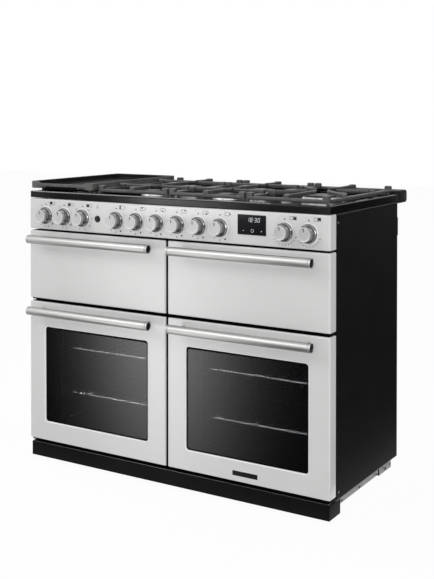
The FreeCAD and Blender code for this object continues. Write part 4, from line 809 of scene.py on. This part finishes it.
addPlinth()


# Holes in the rails and the rear brackets as dark spots of painted shade, and painted shade on the brackets' open
# fronts

railLook = dict(first=0.075, pitch=0.124, count=3, radius=0.0036, proud=0.0002, up=0.0095,
                bracketSpots=((0.400, 0.047, 0.0055), (0.438, 0.0505, 0.0034)), bracketShadeX=(0.515, 0.5402),
                bracketShadeZ=(0.0348, 0.0577), bracketShadeDeep=0.001)


def railShells():
    r = railLook
    proud, shells = r["proud"], []
    low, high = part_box("base_frame")
    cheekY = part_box("roller_brackets")[0].y
    spots = [(low.y + r["first"] + r["pitch"] * i, low.z + r["up"], r["radius"]) for i in range(r["count"])]
    spots += [(frontY + dy, z, radius) for dy, z, radius in r["bracketSpots"]]
    for side, sign in bothSides:
        faceX = high.x if sign > 0 else low.x
        for y, z, radius in spots:
            disc = np.array([(0, proud), (radius, proud), (radius, -proud), (0, -proud)]) * (1, sign)
            shells.append(spin(disc, (faceX, y, z), "right", 20))
        # painted shade: a dark plate across each bracket's open front
        x0, x1 = sorted(sign * x for x in r["bracketShadeX"])
        bracketShade = (x0, r["bracketShadeZ"][0], x1, r["bracketShadeZ"][1])
        shells.append(plate(bracketShade, proud, cheekY - proud, cheekY + r["bracketShadeDeep"], proud / 2))
    return shells


addPiece("rail_holes_and_bracket_shade", railShells(), "shadeAndBorderBlack", "carcass", "black_sheet")
print("hob, trim and plinth done")


# Griddle: one skin from under the pan, round the foot of its wall, over the rim and down to the pan

griddleLook = dict(corner=0.007, innerCorner=0.022, edge=0.0016, flat=0.0004, rim=0.006, floor=0.0045, cove=0.009,
                   coveGap=0.001, floorGap=0.002, wallLow=0.006, underIn=0.03, underStep=0.004, underLift=0.001,
                   lipDrop=0.0066, tuck=0.009, tuckTop=0.0088, notchLeft=0.027, notchRight=0.026, slope=0.013,
                   foot=0.007, footFlare=(0.85, 1.15), footRise=0.002, footSoft=0.001, footInset=0.03, under=0.021,
                   along=48, skinDrop=0.002, skinProud=0.0004, skinSunk=0.001, skinLip=0.0012, frontDeep=0.0125,
                   slabX=0.034, slabY=0.02, slabLow=0.0145, slabHigh=0.0015, slabCorner=0.0028, recess=(0.062, 0.185),
                   recessLow=0.0002, recessHigh=0.0066, recessBack=0.001, recessCorner=0.001, recessEdge=0.0003)
griddleLow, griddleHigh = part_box("griddle")
griddleBottom = griddleLow.z + griddleLook["under"]


def dropFront(rings, lipZ):
    # along the middle of the front what stands over the lip comes down to it, with smooth steps at the ends;
    # gives back 1 there, 0 at the corners and on the other walls
    g = griddleLook
    x, y, z = (rings[..., axis] for axis in range(3))
    rise = np.clip((x - griddleLow.x - g["notchLeft"]) / g["slope"], 0, 1)
    fall = np.clip((griddleHigh.x - g["notchRight"] - x) / g["slope"], 0, 1)
    middle = np.minimum(rise, fall)
    middle = middle * middle * (3 - 2 * middle) * (y < griddleLow.y + g["frontDeep"])
    rings[..., 2] = np.where(z > lipZ, z - middle * (z - lipZ), z)
    return middle


def coveStations():
    g = griddleLook
    floorZ = griddleBottom + g["floor"]
    stations = [(-g["rim"] - g["coveGap"] - g["cove"] * i, floorZ + g["cove"] * k) for i, k in quarterTurn()]
    return stations + [(-g["rim"] - g["floorGap"] - g["cove"], floorZ)]


def griddleRings(stations, corner, out=0.0, up=0.0):
    edges = footprint("griddle")
    return [trayRing(edges, grow + out, griddleLook[corner], z + up, griddleLook["along"]) for grow, z in stations]


def griddleShells():
    g = griddleLook
    bottom, top, e = griddleBottom, griddleHigh.z, g["edge"]
    tuckTop = bottom + g["tuckTop"]
    outer = [(-g["underIn"], bottom + g["underLift"]), (-e - g["underStep"], bottom + g["underLift"]), (-e, bottom),
             (0, bottom + e), (0, bottom + g["wallLow"]), (0, tuckTop), (0, top - e - g["flat"])]
    outer += [(-e * i, top - e * k) for i, k in quarterTurn()]
    inner = [(-g["rim"] + e * k, top - e * i) for i, k in quarterTurn()] + coveStations()
    rings = np.stack(griddleRings(outer, "corner") + griddleRings(inner, "innerCorner"))
    tucked = g["tuck"] * np.clip((tuckTop - rings[..., 2]) / (tuckTop - bottom), 0, 1)
    rings[..., 1] += dropFront(rings, top - g["lipDrop"]) * tucked       # the wall's foot goes back below the lip
    shells = [closed(rings)]
    narrow, wide = (g["foot"] * share for share in g["footFlare"])
    footTop = g["under"] + g["footRise"]
    foot = softCorners([(0, 0), (narrow, 0), (g["foot"], g["footRise"]), (wide, footTop), (0, footTop)], g["footSoft"])
    for x in (griddleLow.x + g["footInset"], griddleHigh.x - g["footInset"]):
        for y in (griddleLow.y + g["footInset"], griddleHigh.y - g["footInset"]):
            shells.append(spin(foot, (x, y, griddleLow.z), "up", 24))
    return shells


def panSkin():
    # the darker cooking face: the inner wall, cove and floor a little proud of the casting, then back below it
    g = griddleLook
    stations = [(-g["rim"] - g["coveGap"], griddleHigh.z - g["skinDrop"])] + coveStations()
    over = griddleRings(stations, "innerCorner", -g["skinProud"], g["skinProud"])
    under = griddleRings(stations, "innerCorner", g["skinSunk"], -g["skinSunk"])
    rings = np.stack(under[::-1] + over)
    dropFront(rings, griddleHigh.z - g["lipDrop"] - g["skinLip"])
    return closed(rings)


def griddleShade():
    # painted shade: a dark slab between the feet, and a dark strip in the recess under the front lip, where shade falls
    g = griddleLook
    low, high, bottom = griddleLow, griddleHigh, griddleBottom
    slab = (low.x + g["slabX"], low.y + g["slabY"], high.x - g["slabX"], high.y - g["slabY"])
    recess = (low.x + g["recess"][0], bottom - g["recessLow"], low.x + g["recess"][1], bottom + g["recessHigh"])
    return [block(slab, g["slabCorner"], low.z + g["slabLow"], bottom + g["slabHigh"]),
            plate(recess, g["recessCorner"], low.y + g["recessBack"], low.y + g["frontDeep"], g["recessEdge"])]


addPiece("griddle_face", [panSkin()], "panIron", "griddle_tray", "cast_iron", sharp=50)
# painted shade under the griddle
addPiece("griddle_painted_shade", griddleShade(), "shadeAndBorderBlack", "griddle_tray", "cast_iron")
addPiece("griddle_casting", griddleShells(), "griddleIron", "griddle_tray", "cast_iron", "griddle", sharp=50)


# Pan supports: a cast loop on posts, with fingers that reach in from raised pads

supportLook = dict(bar=0.0105, barLow=0.0165, barHigh=0.0275, barPower=4, corner=0.013, loopSide=6, pad=0.0195,
                   padDeep=0.018, padInset=0.0026, padBack=0.0012, padRound=0.0034, padCorner=0.003, padHem=0.001,
                   padSink=0.004, foot=0.0052, footTaper=0.8, footSoft=0.001, footRear=0.467, finger=0.0078,
                   fingerRoot=(0.002, 0.001), fingerLow=0.024, tipRise=0.002, tipDrop=0.0016, tipShare=0.4, stop=0.026,
                   wideStop=0.046, padLong=0.021, padPower=6, padTip=0.003, rows=(0.150, 0.371))
burnerRows = [frontY + row for row in supportLook["rows"]]


def frameLoop(edges, width, lowZ, highZ, corner, count=20):
    # a squarish superellipse section carried round a rectangle with round corners
    across, up = squarish(np.linspace(0, 2 * np.pi, count + 1), supportLook["barPower"])
    return np.stack([trayRing(edges, width / 2 * (s - 1), corner, (lowZ + highZ) / 2 + (highZ - lowZ) / 2 * t,
                              supportLook["loopSide"]) for s, t in zip(across, up)])


def padBlock(edges, lowZ, highZ):
    # a block whose top edge is a wide quarter turn
    corner, hem, e = (supportLook[k] for k in ("padCorner", "padHem", "padRound"))
    rings = [trayRing(edges, -hem, corner, lowZ), trayRing(edges, 0, corner, lowZ + hem)]
    return closed(rings + [trayRing(edges, -e * i, corner + e * i, highZ - e * k) for i, k in quarterTurn()])


def supportShells(node, single):
    s = supportLook
    low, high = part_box(node)
    midX, midY, _ = middleOf(node)
    floor, top = low.z, high.z
    half, pad, deep, power = s["bar"] / 2, s["pad"], s["padDeep"], s["barPower"]
    barLow, barHigh = floor + s["barLow"], floor + s["barHigh"]
    legTop = s["barLow"] + s["padSink"]
    leg = softCorners([(0, 0), (s["foot"] * s["footTaper"], 0), (s["foot"], legTop), (0, legTop)], s["footSoft"])
    shells = [frameLoop(footprint(node), s["bar"], barLow, barHigh, s["corner"])]
    for x, way in ((low.x + s["padInset"], 1), (high.x - s["padInset"] - pad, -1)):
        for y in (low.y + s["padBack"], high.y - s["padBack"] - deep):
            shells.append(padBlock((x, y, x + pad, y + deep), barLow + s["padSink"], top))
        for footY in (low.y + half, frontY + s["footRear"]):
            legX = x + pad / 2 + (half - s["padInset"] - pad / 2) * way
            shells.append(spin(leg, (legX, footY, floor), "up", 24))
    if not single:
        shells.append(bar((low.x + half, midY), (high.x - half, midY), s["bar"], barLow, barHigh, power))
    fingerLow = [barLow + s["fingerRoot"][0], floor + s["fingerLow"], floor + s["fingerLow"] + s["tipRise"]]
    fingerHigh = [top - s["fingerRoot"][1], top - s["tipDrop"], top - s["tipDrop"] * s["tipShare"]]
    stop = s["wideStop"] if single else s["stop"]
    inset = pad / 2 if single else 0.0
    centres = (midY, midY) if single else burnerRows
    starts = [((x, row), centre) for row, centre in zip(burnerRows, centres) for x in (low.x + inset, high.x - inset)]
    starts += [((midX, low.y), centres[0]), ((midX, high.y), centres[1])]
    starts += [] if single else [((midX, midY), centre) for centre in centres]
    for start, centre in starts:
        start, burner = np.array(start), np.array((midX, centre))
        way = (burner - start) / np.linalg.norm(burner - start)
        shells.append(bar(start, burner - way * stop, s["finger"], fingerLow, fingerHigh, power))
        shells.append(bar(start, start + way * s["padLong"], pad, barLow, top, s["padPower"], s["padTip"]))
    return shells


for name in ("left", "centre", "right"):
    node = "pan_support_" + name
    addPiece(node + "_casting", supportShells(node, name == "right"), "castIron", "support_" + name, "cast_iron", node,
             sharp=40)


# Burners: a spun base with a crown of flame ports, and a domed cap; the griddle has a long slim one

burnerLook = dict(base=0.043, baseWall=0.004, baseTaper=0.003, baseHigh=0.0122, neck=0.0362, soft=0.0012, ports=36,
                  portSteps=6, portDeep=0.0014, portSteep=3, portFrom=0.0005, portTo=0.0003, portInner=0.01,
                  capLow=0.0152, cap=0.034, capHigh=0.0208, capHem=0.001, capWall=0.0026, capEdge=(0.002, 0.0006),
                  capFlat=0.6, wideExtra=0.020, slimBase=(0.030, 0.130, 0.0, 0.0082),
                  slimLid=(0.025, 0.125, 0.008, 0.013), slimEdge=0.002, slimCorner=0.9)


def crown(x, y, extra):
    # a spun wall whose radius swings in and out with the angle, flattened into teeth by a steep curve
    b = burnerLook
    base, neck, high, capLow = b["base"] + extra, b["neck"] + extra, b["baseHigh"], b["capLow"]
    profile = softCorners([(0, 0), (base, 0), (base, b["baseWall"]), (b["base"] - b["baseTaper"] + extra, high),
                           (neck, high), (neck, capLow), (0, capLow)], b["soft"])
    count = b["ports"] * b["portSteps"]
    shell = spin(profile, (x, y, wellZ), "up", count)
    turn = np.linspace(0, 2 * np.pi, count, endpoint=False)
    teeth = np.tanh(b["portSteep"] * np.sin(turn * b["ports"])) * 0.5 - 0.5
    radius, level = profile.T
    onNeck = (level > high + b["portFrom"]) & (level < capLow - b["portTo"]) & (radius > b["portInner"])
    away = shell - np.array([x, y, 0])
    away[..., 2] = 0
    away = away / np.maximum(np.linalg.norm(away, axis=-1, keepdims=True), mergeWithin)
    return shell + away * (onNeck[:, None] * teeth[None] * b["portDeep"])[..., None]


def burnerCap(x, y, extra):
    b = burnerLook
    r, low, high, hem = b["cap"] + extra, b["capLow"], b["capHigh"], b["capHem"]
    profile = [(0, low), (r - hem, low), (r, low + hem), (r, high - b["capWall"]),
               (r - b["capEdge"][0], high - b["capEdge"][1]), (r * b["capFlat"], high), (0, high)]
    return spin(softCorners(profile, b["soft"]), (x, y, wellZ), "up", 72)


def slimBurner(halfX, halfY, low, high):
    x, y, _ = middleOf("griddle")
    edges = (x - halfX, y - halfY, x + halfX, y + halfY)
    e, corner = burnerLook["slimEdge"], halfX * burnerLook["slimCorner"]
    rings = [trayRing(edges, 0, corner, wellZ + low)]
    return closed(rings + [trayRing(edges, -e * i, corner, wellZ + high - e * k) for i, k in quarterTurn(5)])


burnerAt = [(middleOf("pan_support_" + name)[0], row, 0.0) for name in ("left", "centre") for row in burnerRows]
burnerAt.append((*middleOf("pan_support_right")[:2], burnerLook["wideExtra"]))
addPiece("burner_crowns", [crown(*at) for at in burnerAt] + [slimBurner(*burnerLook["slimBase"])], "burnerAlloy",
         "carcass", "burner_alloy", "burner_bases", sharp=50)
addPiece("burner_lids", [burnerCap(*at) for at in burnerAt] + [slimBurner(*burnerLook["slimLid"])], "burnerEnamel",
         "carcass", "burner_enamel", "burner_caps")
print("hob castings done")


# Small screws and slots on the side panels; the slots are dark spots of painted shade

screwLook = dict(places=((0.054, 0.841), (0.059, 0.082)), radius=0.0036, high=0.0016, dome=(0.6, 0.85), rim=0.0004,
                 sink=0.0003, slotWide=0.004, slotTall=0.012, slotUp=0.0155, slotProud=0.0002)


def addSideScrews(side, sign):
    s = screwLook
    low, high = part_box("side_panel_" + side)
    faceX = high.x if sign > 0 else low.x
    r, sink, half, proud = s["radius"], s["sink"], s["slotWide"] / 2, s["slotProud"]
    dome = [(0, s["high"]), (r * s["dome"][0], s["high"] * s["dome"][1]), (r, s["rim"]), (r, -sink), (0, -sink)]
    spot = [(0, proud), (half, proud), (half, -sink), (0, -sink)]
    screws, slots = [], []
    for dy, z in s["places"]:
        screws.append(spin(np.array(dome) * (1, sign), (faceX, frontY + dy, z), "right", 24))
        # painted shade: each slot is a flat dark spot drawn out upright
        slotZ = z + s["slotUp"]
        shell = spin(np.array(spot) * (1, sign), (faceX, frontY + dy, slotZ), "right", 24)
        shell[..., 2] = slotZ + (shell[..., 2] - slotZ) * s["slotTall"] / s["slotWide"]      # drawn out upright
        slots.append(shell)
    addPiece(f"side_screws_{side}", screws, "plainSteel", "carcass", "bezel_chrome")
    addPiece(f"side_slots_{side}", slots, "shadeAndBorderBlack", "carcass", "black_sheet")


for side, sign in bothSides:
    addSideScrews(side, sign)


# Back: two pressed covers with louvres, a terminal box, stiffening ribs and rows of screws

backLook = dict(coverX=0.275, coverZ=0.3, coverHalf=0.135, proud=0.008, slope=0.006, corner=0.014, edge=0.003,
                sink=0.0003, flat=0.0008, power=2.5, louvres=5, louvreHalf=0.075, louvrePitch=0.026, louvreTall=0.009,
                louvreOut=0.0075, louvreTip=0.006, gapShare=0.95, gapOut=0.0008, gapLow=0.0035, gapHigh=0.001,
                ribs=(0.545, 0.655), ribHalf=0.44, ribTall=0.014, ribOut=0.004, ribTip=0.012,
                box=(0.29, 0.70, 0.42, 0.79), boxProud=0.022, boxScrew=0.022, screw=0.0042, screwHigh=0.0022,
                screwDome=(0.6, 0.85, 0.25), screwSink=0.0004, screwSoft=0.0004, coverScrew=0.014, sideInset=0.02,
                lowInset=0.018, highInset=0.024, columnInset=0.16, rowCount=8, columnCount=4)
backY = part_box("back_panel")[1].y


def pressedCover(edges, proud):
    # outlines lofted out of the panel: a sloped wall, a rounded edge and a flat face
    b = backLook
    slope, corner, e = b["slope"], b["corner"], b["edge"]
    rings = [plateRing(edges, 0, corner, backY - b["sink"])]
    rings += [plateRing(edges, -slope - e * i, corner, backY + proud - e * k) for i, k in quarterTurn(5)]
    return closed(rings + [plateRing(edges, -slope - e - b["flat"], corner, backY + proud)])


def backBar(x, half, out, y, lowZ, highZ, *shape):
    return bar((x - half, y), (x + half, y), out, lowZ, highZ, *shape)


def screwPlaces():
    # x, z and how far out: at the corners of the covers, on the box and along the panel's edges
    b = backLook
    inset = b["coverHalf"] - b["slope"] - b["coverScrew"]
    places = [(x + sx * inset, b["coverZ"] + sz * inset, b["proud"]) for x in (-b["coverX"], b["coverX"])
              for sx in (-1, 1) for sz in (-1, 1)]
    x0, z0, x1, z1 = b["box"]
    places += [(x, (z0 + z1) / 2, b["boxProud"]) for x in (x0 + b["boxScrew"], x1 - b["boxScrew"])]
    x0, z0, x1, z1 = edgesOf("back_panel")
    left, right = x0 + b["sideInset"], x1 - b["sideInset"]
    places += [(x, z, 0.0) for x in np.linspace(left, right, b["rowCount"])
               for z in (z0 + b["lowInset"], z1 - b["highInset"])]
    return places + [(x, z, 0.0) for z in np.linspace(z0 + b["columnInset"], z1 - b["columnInset"], b["columnCount"])
                     for x in (left, right)]


def addBack():
    b = backLook
    h, z, y = b["coverHalf"], b["coverZ"], backY + b["proud"]
    sheets, hoods, gaps = [], [], []
    for x in (-b["coverX"], b["coverX"]):
        sheets.append(pressedCover((x - h, z - h, x + h, z + h), b["proud"]))
        for louvreZ in z + (np.arange(b["louvres"]) - (b["louvres"] - 1) / 2) * b["louvrePitch"]:
            hoods.append(backBar(x, b["louvreHalf"], b["louvreOut"], y, louvreZ, louvreZ + b["louvreTall"], b["power"],
                                 b["louvreTip"]))
            # painted shade: a dark strip under each louvre hood, where the gap lies in shade
            gaps.append(backBar(x, b["louvreHalf"] * b["gapShare"], b["gapOut"], y, louvreZ - b["gapLow"],
                                louvreZ + b["gapHigh"]))
    for ribZ in b["ribs"]:
        sheets.append(backBar(0, b["ribHalf"], b["ribOut"], backY, ribZ, ribZ + b["ribTall"], b["power"], b["ribTip"]))
    sheets.append(pressedCover(b["box"], b["boxProud"]))
    r, t, sink = b["screw"], b["screwHigh"], b["screwSink"]
    inner, crest, rim = b["screwDome"]
    dome = softCorners([(0, t), (r * inner, t * crest), (r, t * rim), (r, -sink), (0, -sink)], b["screwSoft"])
    screws = [spin(dome, (x, backY + out, z), "back", 20) for x, z, out in screwPlaces()]
    addPiece("back_covers", sheets, "galvanised", "carcass", "galvanised")
    addPiece("back_louvres", hoods, "galvanised", "carcass", "galvanised")
    addPiece("louvre_gaps", gaps, "shadeAndBorderBlack", "carcass", "black_sheet")
    addPiece("back_screws", screws, "plainSteel", "carcass", "galvanised")


addBack()
print("back done")


# Stage, light and camera

cameraLook = dict(x=1.7688, y=-2.5861, z=1.142, azimuth=31.57, pitch=0.92, focalPixels=1034.4, middlePixel=126.6,
                  imageTall=579, sensor=36.0, clipEnd=50)
lightLook = dict(world=0.42, floorWhite=0.96, floorHalf=12.0, floorTone=0.86, floorRough=0.9)
lamps = {
    "frontLeft": dict(at=(-1.9, -3.2, 3.0), to=(0, -0.25, 0.6), size=(2.2, 1.6), power=28),
    "right": dict(at=(1.6, -3.4, 2.8), to=(0, 0, 0.6), size=(1.6, 1.6), power=13),
    "frontFill": dict(at=(0.0, -4.6, 1.1), to=(0, -0.25, 0.5), size=(3.6, 2.0), power=24, glossy=False),
    "top": dict(at=(-1.6, -0.3, 3.2), to=(-0.1, -0.1, 0.9), size=(1.5, 0.9), power=34, glossy=False),
    "sideFill": dict(at=(3.2, -1.0, 1.5), to=(0.55, -0.2, 0.6), size=(1.2, 1.6), power=22),
}
rackLamp = dict(x=0.275, y=-0.1245, to=0.1, size=(0.38, 0.012), spread=10, high=(("High", 0.487), ("Low", 0.337)),
                power=dict(left=0.36, right=0.2))
for side, sign in bothSides:
    for level, z in rackLamp["high"]:            # a narrow beam on the front wire of each rack
        x, y = sign * rackLamp["x"], rackLamp["y"]
        lamps[side + level] = dict(at=(x, y, z), to=(x, y, rackLamp["to"]), size=rackLamp["size"],
                                   power=rackLamp["power"][side], spread=rackLamp["spread"])


def addCamera():
    c = cameraLook
    data = bpy.data.cameras.new("photo_camera")
    data.sensor_width = c["sensor"]
    data.lens = c["focalPixels"] / c["imageTall"] * c["sensor"]
    data.shift_y = -(c["imageTall"] / 2 - c["middlePixel"]) / c["imageTall"]
    data.clip_end = c["clipEnd"]
    camera = bpy.data.objects.new("photo_camera", data)
    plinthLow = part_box("plinth")[0].z
    camera.location = (c["x"], c["y"] + frontY, c["z"] + plinthLow)
    camera.rotation_euler = (math.radians(90 - c["pitch"]), 0, math.radians(c["azimuth"]))
    bpy.context.scene.collection.objects.link(camera)
    bpy.context.scene.camera = camera


def addLamp(name, lamp):
    data = bpy.data.lights.new(name, "AREA")
    data.shape = "RECTANGLE"
    data.size, data.size_y = lamp["size"]
    data.energy = lamp["power"]
    data.spread = math.radians(lamp.get("spread", 180))
    light = bpy.data.objects.new(name, data)
    way = Vector(lamp["to"]) - Vector(lamp["at"])
    light.visible_glossy = lamp.get("glossy", True)
    light.location = lamp["at"]
    light.rotation_euler = way.to_track_quat("-Z", "Y").to_euler()
    bpy.context.scene.collection.objects.link(light)


def mathNode(tree, operation, first, second):
    # each of the two is a node with its socket, or a number
    node = addNode(tree, "Math")
    node.operation = operation
    for index, value in enumerate((first, second)):
        if isinstance(value, tuple):
            wire(tree, (*value, node, index))
        else:
            node.inputs[index].default_value = value
    return node


def seenRay(tree):
    # 1 for rays that show the background: camera, glossy and transmission
    path = addNode(tree, "LightPath")
    either = mathNode(tree, "MAXIMUM", (path, "Is Camera Ray"), (path, "Is Glossy Ray"))
    return mathNode(tree, "MAXIMUM", (either, "Value"), (path, "Is Transmission Ray"))


def addWorld():
    world = bpy.data.worlds.new("studio")
    world.use_nodes = True
    bpy.context.scene.world = world
    tree = world.node_tree
    background = tree.nodes["Background"]
    background.inputs["Color"].default_value = (1, 1, 1, 1)
    strength = addNode(tree, "MapRange", {"To Min": lightLook["world"], "To Max": 1.0})
    wire(tree, (seenRay(tree), "Value", strength, "Value"), (strength, "Result", background, "Strength"))


def stageSheet(name, grid, finish):
    # an open grid of points, with a map of its rows and columns
    rows, columns = grid.shape[:2]
    mesh = bpy.data.meshes.new(name)
    index = np.arange(rows * columns).reshape(rows, columns)
    quads = np.stack([index[:-1, :-1], index[1:, :-1], index[1:, 1:], index[:-1, 1:]], -1).reshape(-1, 4)
    mesh.from_pydata(grid.reshape(-1, 3).tolist(), [], quads.tolist())
    across, along = np.meshgrid(np.linspace(0, 1, columns), np.linspace(0, 1, rows))
    flat = np.stack([across, along], -1).reshape(-1, 2)
    uv = mesh.uv_layers.new(name="map")
    uv.data.foreach_set("uv", flat[quads.reshape(-1)].astype(np.float32).reshape(-1))
    mesh.materials.append(finish)
    sheet = bpy.data.objects.new(name, mesh)
    bpy.context.scene.collection.objects.link(sheet)
    return sheet


def addFloor():
    # a wide flat sheet that shows white, with a part of its own shading left for the shadow
    f = lightLook
    u = np.linspace(-f["floorHalf"], f["floorHalf"], 3)
    grid = np.stack([*np.meshgrid(u, u, indexing="ij"), np.zeros((3, 3))], -1)
    finish, tree = newMaterial("floorWhite")
    shader = tree.nodes["Principled BSDF"]
    shader.inputs["Base Color"].default_value = (*[f["floorTone"]] * 3, 1)
    shader.inputs["Roughness"].default_value = f["floorRough"]
    glow, mix = addNode(tree, "Emission"), addNode(tree, "MixShader")
    share = mathNode(tree, "MULTIPLY", (seenRay(tree), "Value"), f["floorWhite"])
    wire(tree, (share, "Value", mix, "Fac"), (shader, "BSDF", mix, 1), (glow, "Emission", mix, 2),
         (mix, "Shader", tree.nodes["Material Output"], "Surface"))
    stageSheet("floor", grid, finish)


def stageCard(name, grid, finish):
    # a studio card that only reflections see
    card = stageSheet(name, grid, finish)
    card.visible_camera = card.visible_diffuse = card.visible_shadow = card.visible_transmission = False


cardLook = dict(half=0.75, middle=-0.03, columns=41, rows=49, lift=0.006, glowWide=0.16)
stops = np.linspace(0, 1, 17)
bell = np.exp(-((stops * 2 - 1) * cardLook["half"] / cardLook["glowWide"]) ** 2 / 2)
cards = {  # how far the mirrored floor is, as a share of the camera's distance, and the light across and along it
    "window_card": dict(near=0.03, far=2.9, bright=2.9, across=list(zip(stops, bell)),
                        along=((0.0, 0.3), (0.07, 0.6), (0.17, 1.0), (0.35, 1.0), (0.52, 0.9), (0.76, 0.75),
                               (1.0, 0.55))),
    "rim_card": dict(near=2.92, far=3.6, bright=13.5,
                     across=((0.3, 0), (0.33, 0.05), (0.393, 0.38), (0.454, 0.86), (0.504, 0.97), (0.572, 0.9),
                             (0.628, 0.76), (0.71, 0.42), (0.787, 0.1), (0.84, 0)),
                     along=((0, 1), (1, 1))),
}
flagLook = dict(near=-0.3, far=5.0, start=0.64, reach=1.06, end=1.7, low=0.008, tall=3.2)


def lightRamp(tree, source, socket, pairs):
    ramp = addNode(tree, "ValToRGB")
    ramp.color_ramp.interpolation = "B_SPLINE"
    while len(ramp.color_ramp.elements) < len(pairs):
        ramp.color_ramp.elements.new(0.5)
    for stop, (at, level) in zip(ramp.color_ramp.elements, pairs):
        stop.position = at
        stop.color = (level, level, level, 1)
    wire(tree, (source, socket, ramp, "Fac"))
    return ramp


def gradedCard(name, card):
    # the floor that the fronts mirror to the camera: lines of sight through the fronts, folded at their plane
    c = cardLook
    view = bpy.context.scene.camera.location
    x, t = np.meshgrid(c["middle"] + np.linspace(-c["half"], c["half"], c["columns"]),
                       np.linspace(card["near"], card["far"], c["rows"]))
    grid = np.stack([x + (x - view.x) * t, frontY + (view.y - frontY) * t, np.full_like(x, c["lift"])], -1)
    finish, tree = newMaterial(name)
    tree.nodes.remove(tree.nodes["Principled BSDF"])
    place, split = addNode(tree, "TexCoord"), addNode(tree, "SeparateXYZ")
    wire(tree, (place, "UV", split, "Vector"))
    across, along = (lightRamp(tree, split, socket, card[way]) for socket, way in (("X", "across"), ("Y", "along")))
    both = mathNode(tree, "MULTIPLY", (across, "Color"), (along, "Color"))
    level = mathNode(tree, "MULTIPLY", (both, "Value"), card["bright"])
    glow = addNode(tree, "Emission")
    wire(tree, (level, "Value", glow, "Strength"), (glow, "Emission", tree.nodes["Material Output"], "Surface"))
    stageCard(name, grid, finish)


def darkFlag():
    # keeps the right side black: a card that lies beside it and bends upright
    f = flagLook
    y, bend = np.meshgrid(np.linspace(f["near"], f["far"], 2), np.linspace(0, 2, 3))
    x = np.minimum(f["start"] + f["reach"] * bend, f["end"])
    z = np.maximum(f["low"], (bend - 1) * f["tall"])
    stageCard("dark_flag", np.stack([x, y, z], -1), finishes["flagGrey"])


addCamera()
addWorld()
addFloor()
for name, card in cards.items():
    gradedCard(name, card)
darkFlag()
for name, lamp in lamps.items():
    addLamp(name, lamp)
bpy.context.scene.view_settings.view_transform = "Standard"
print("stage done")
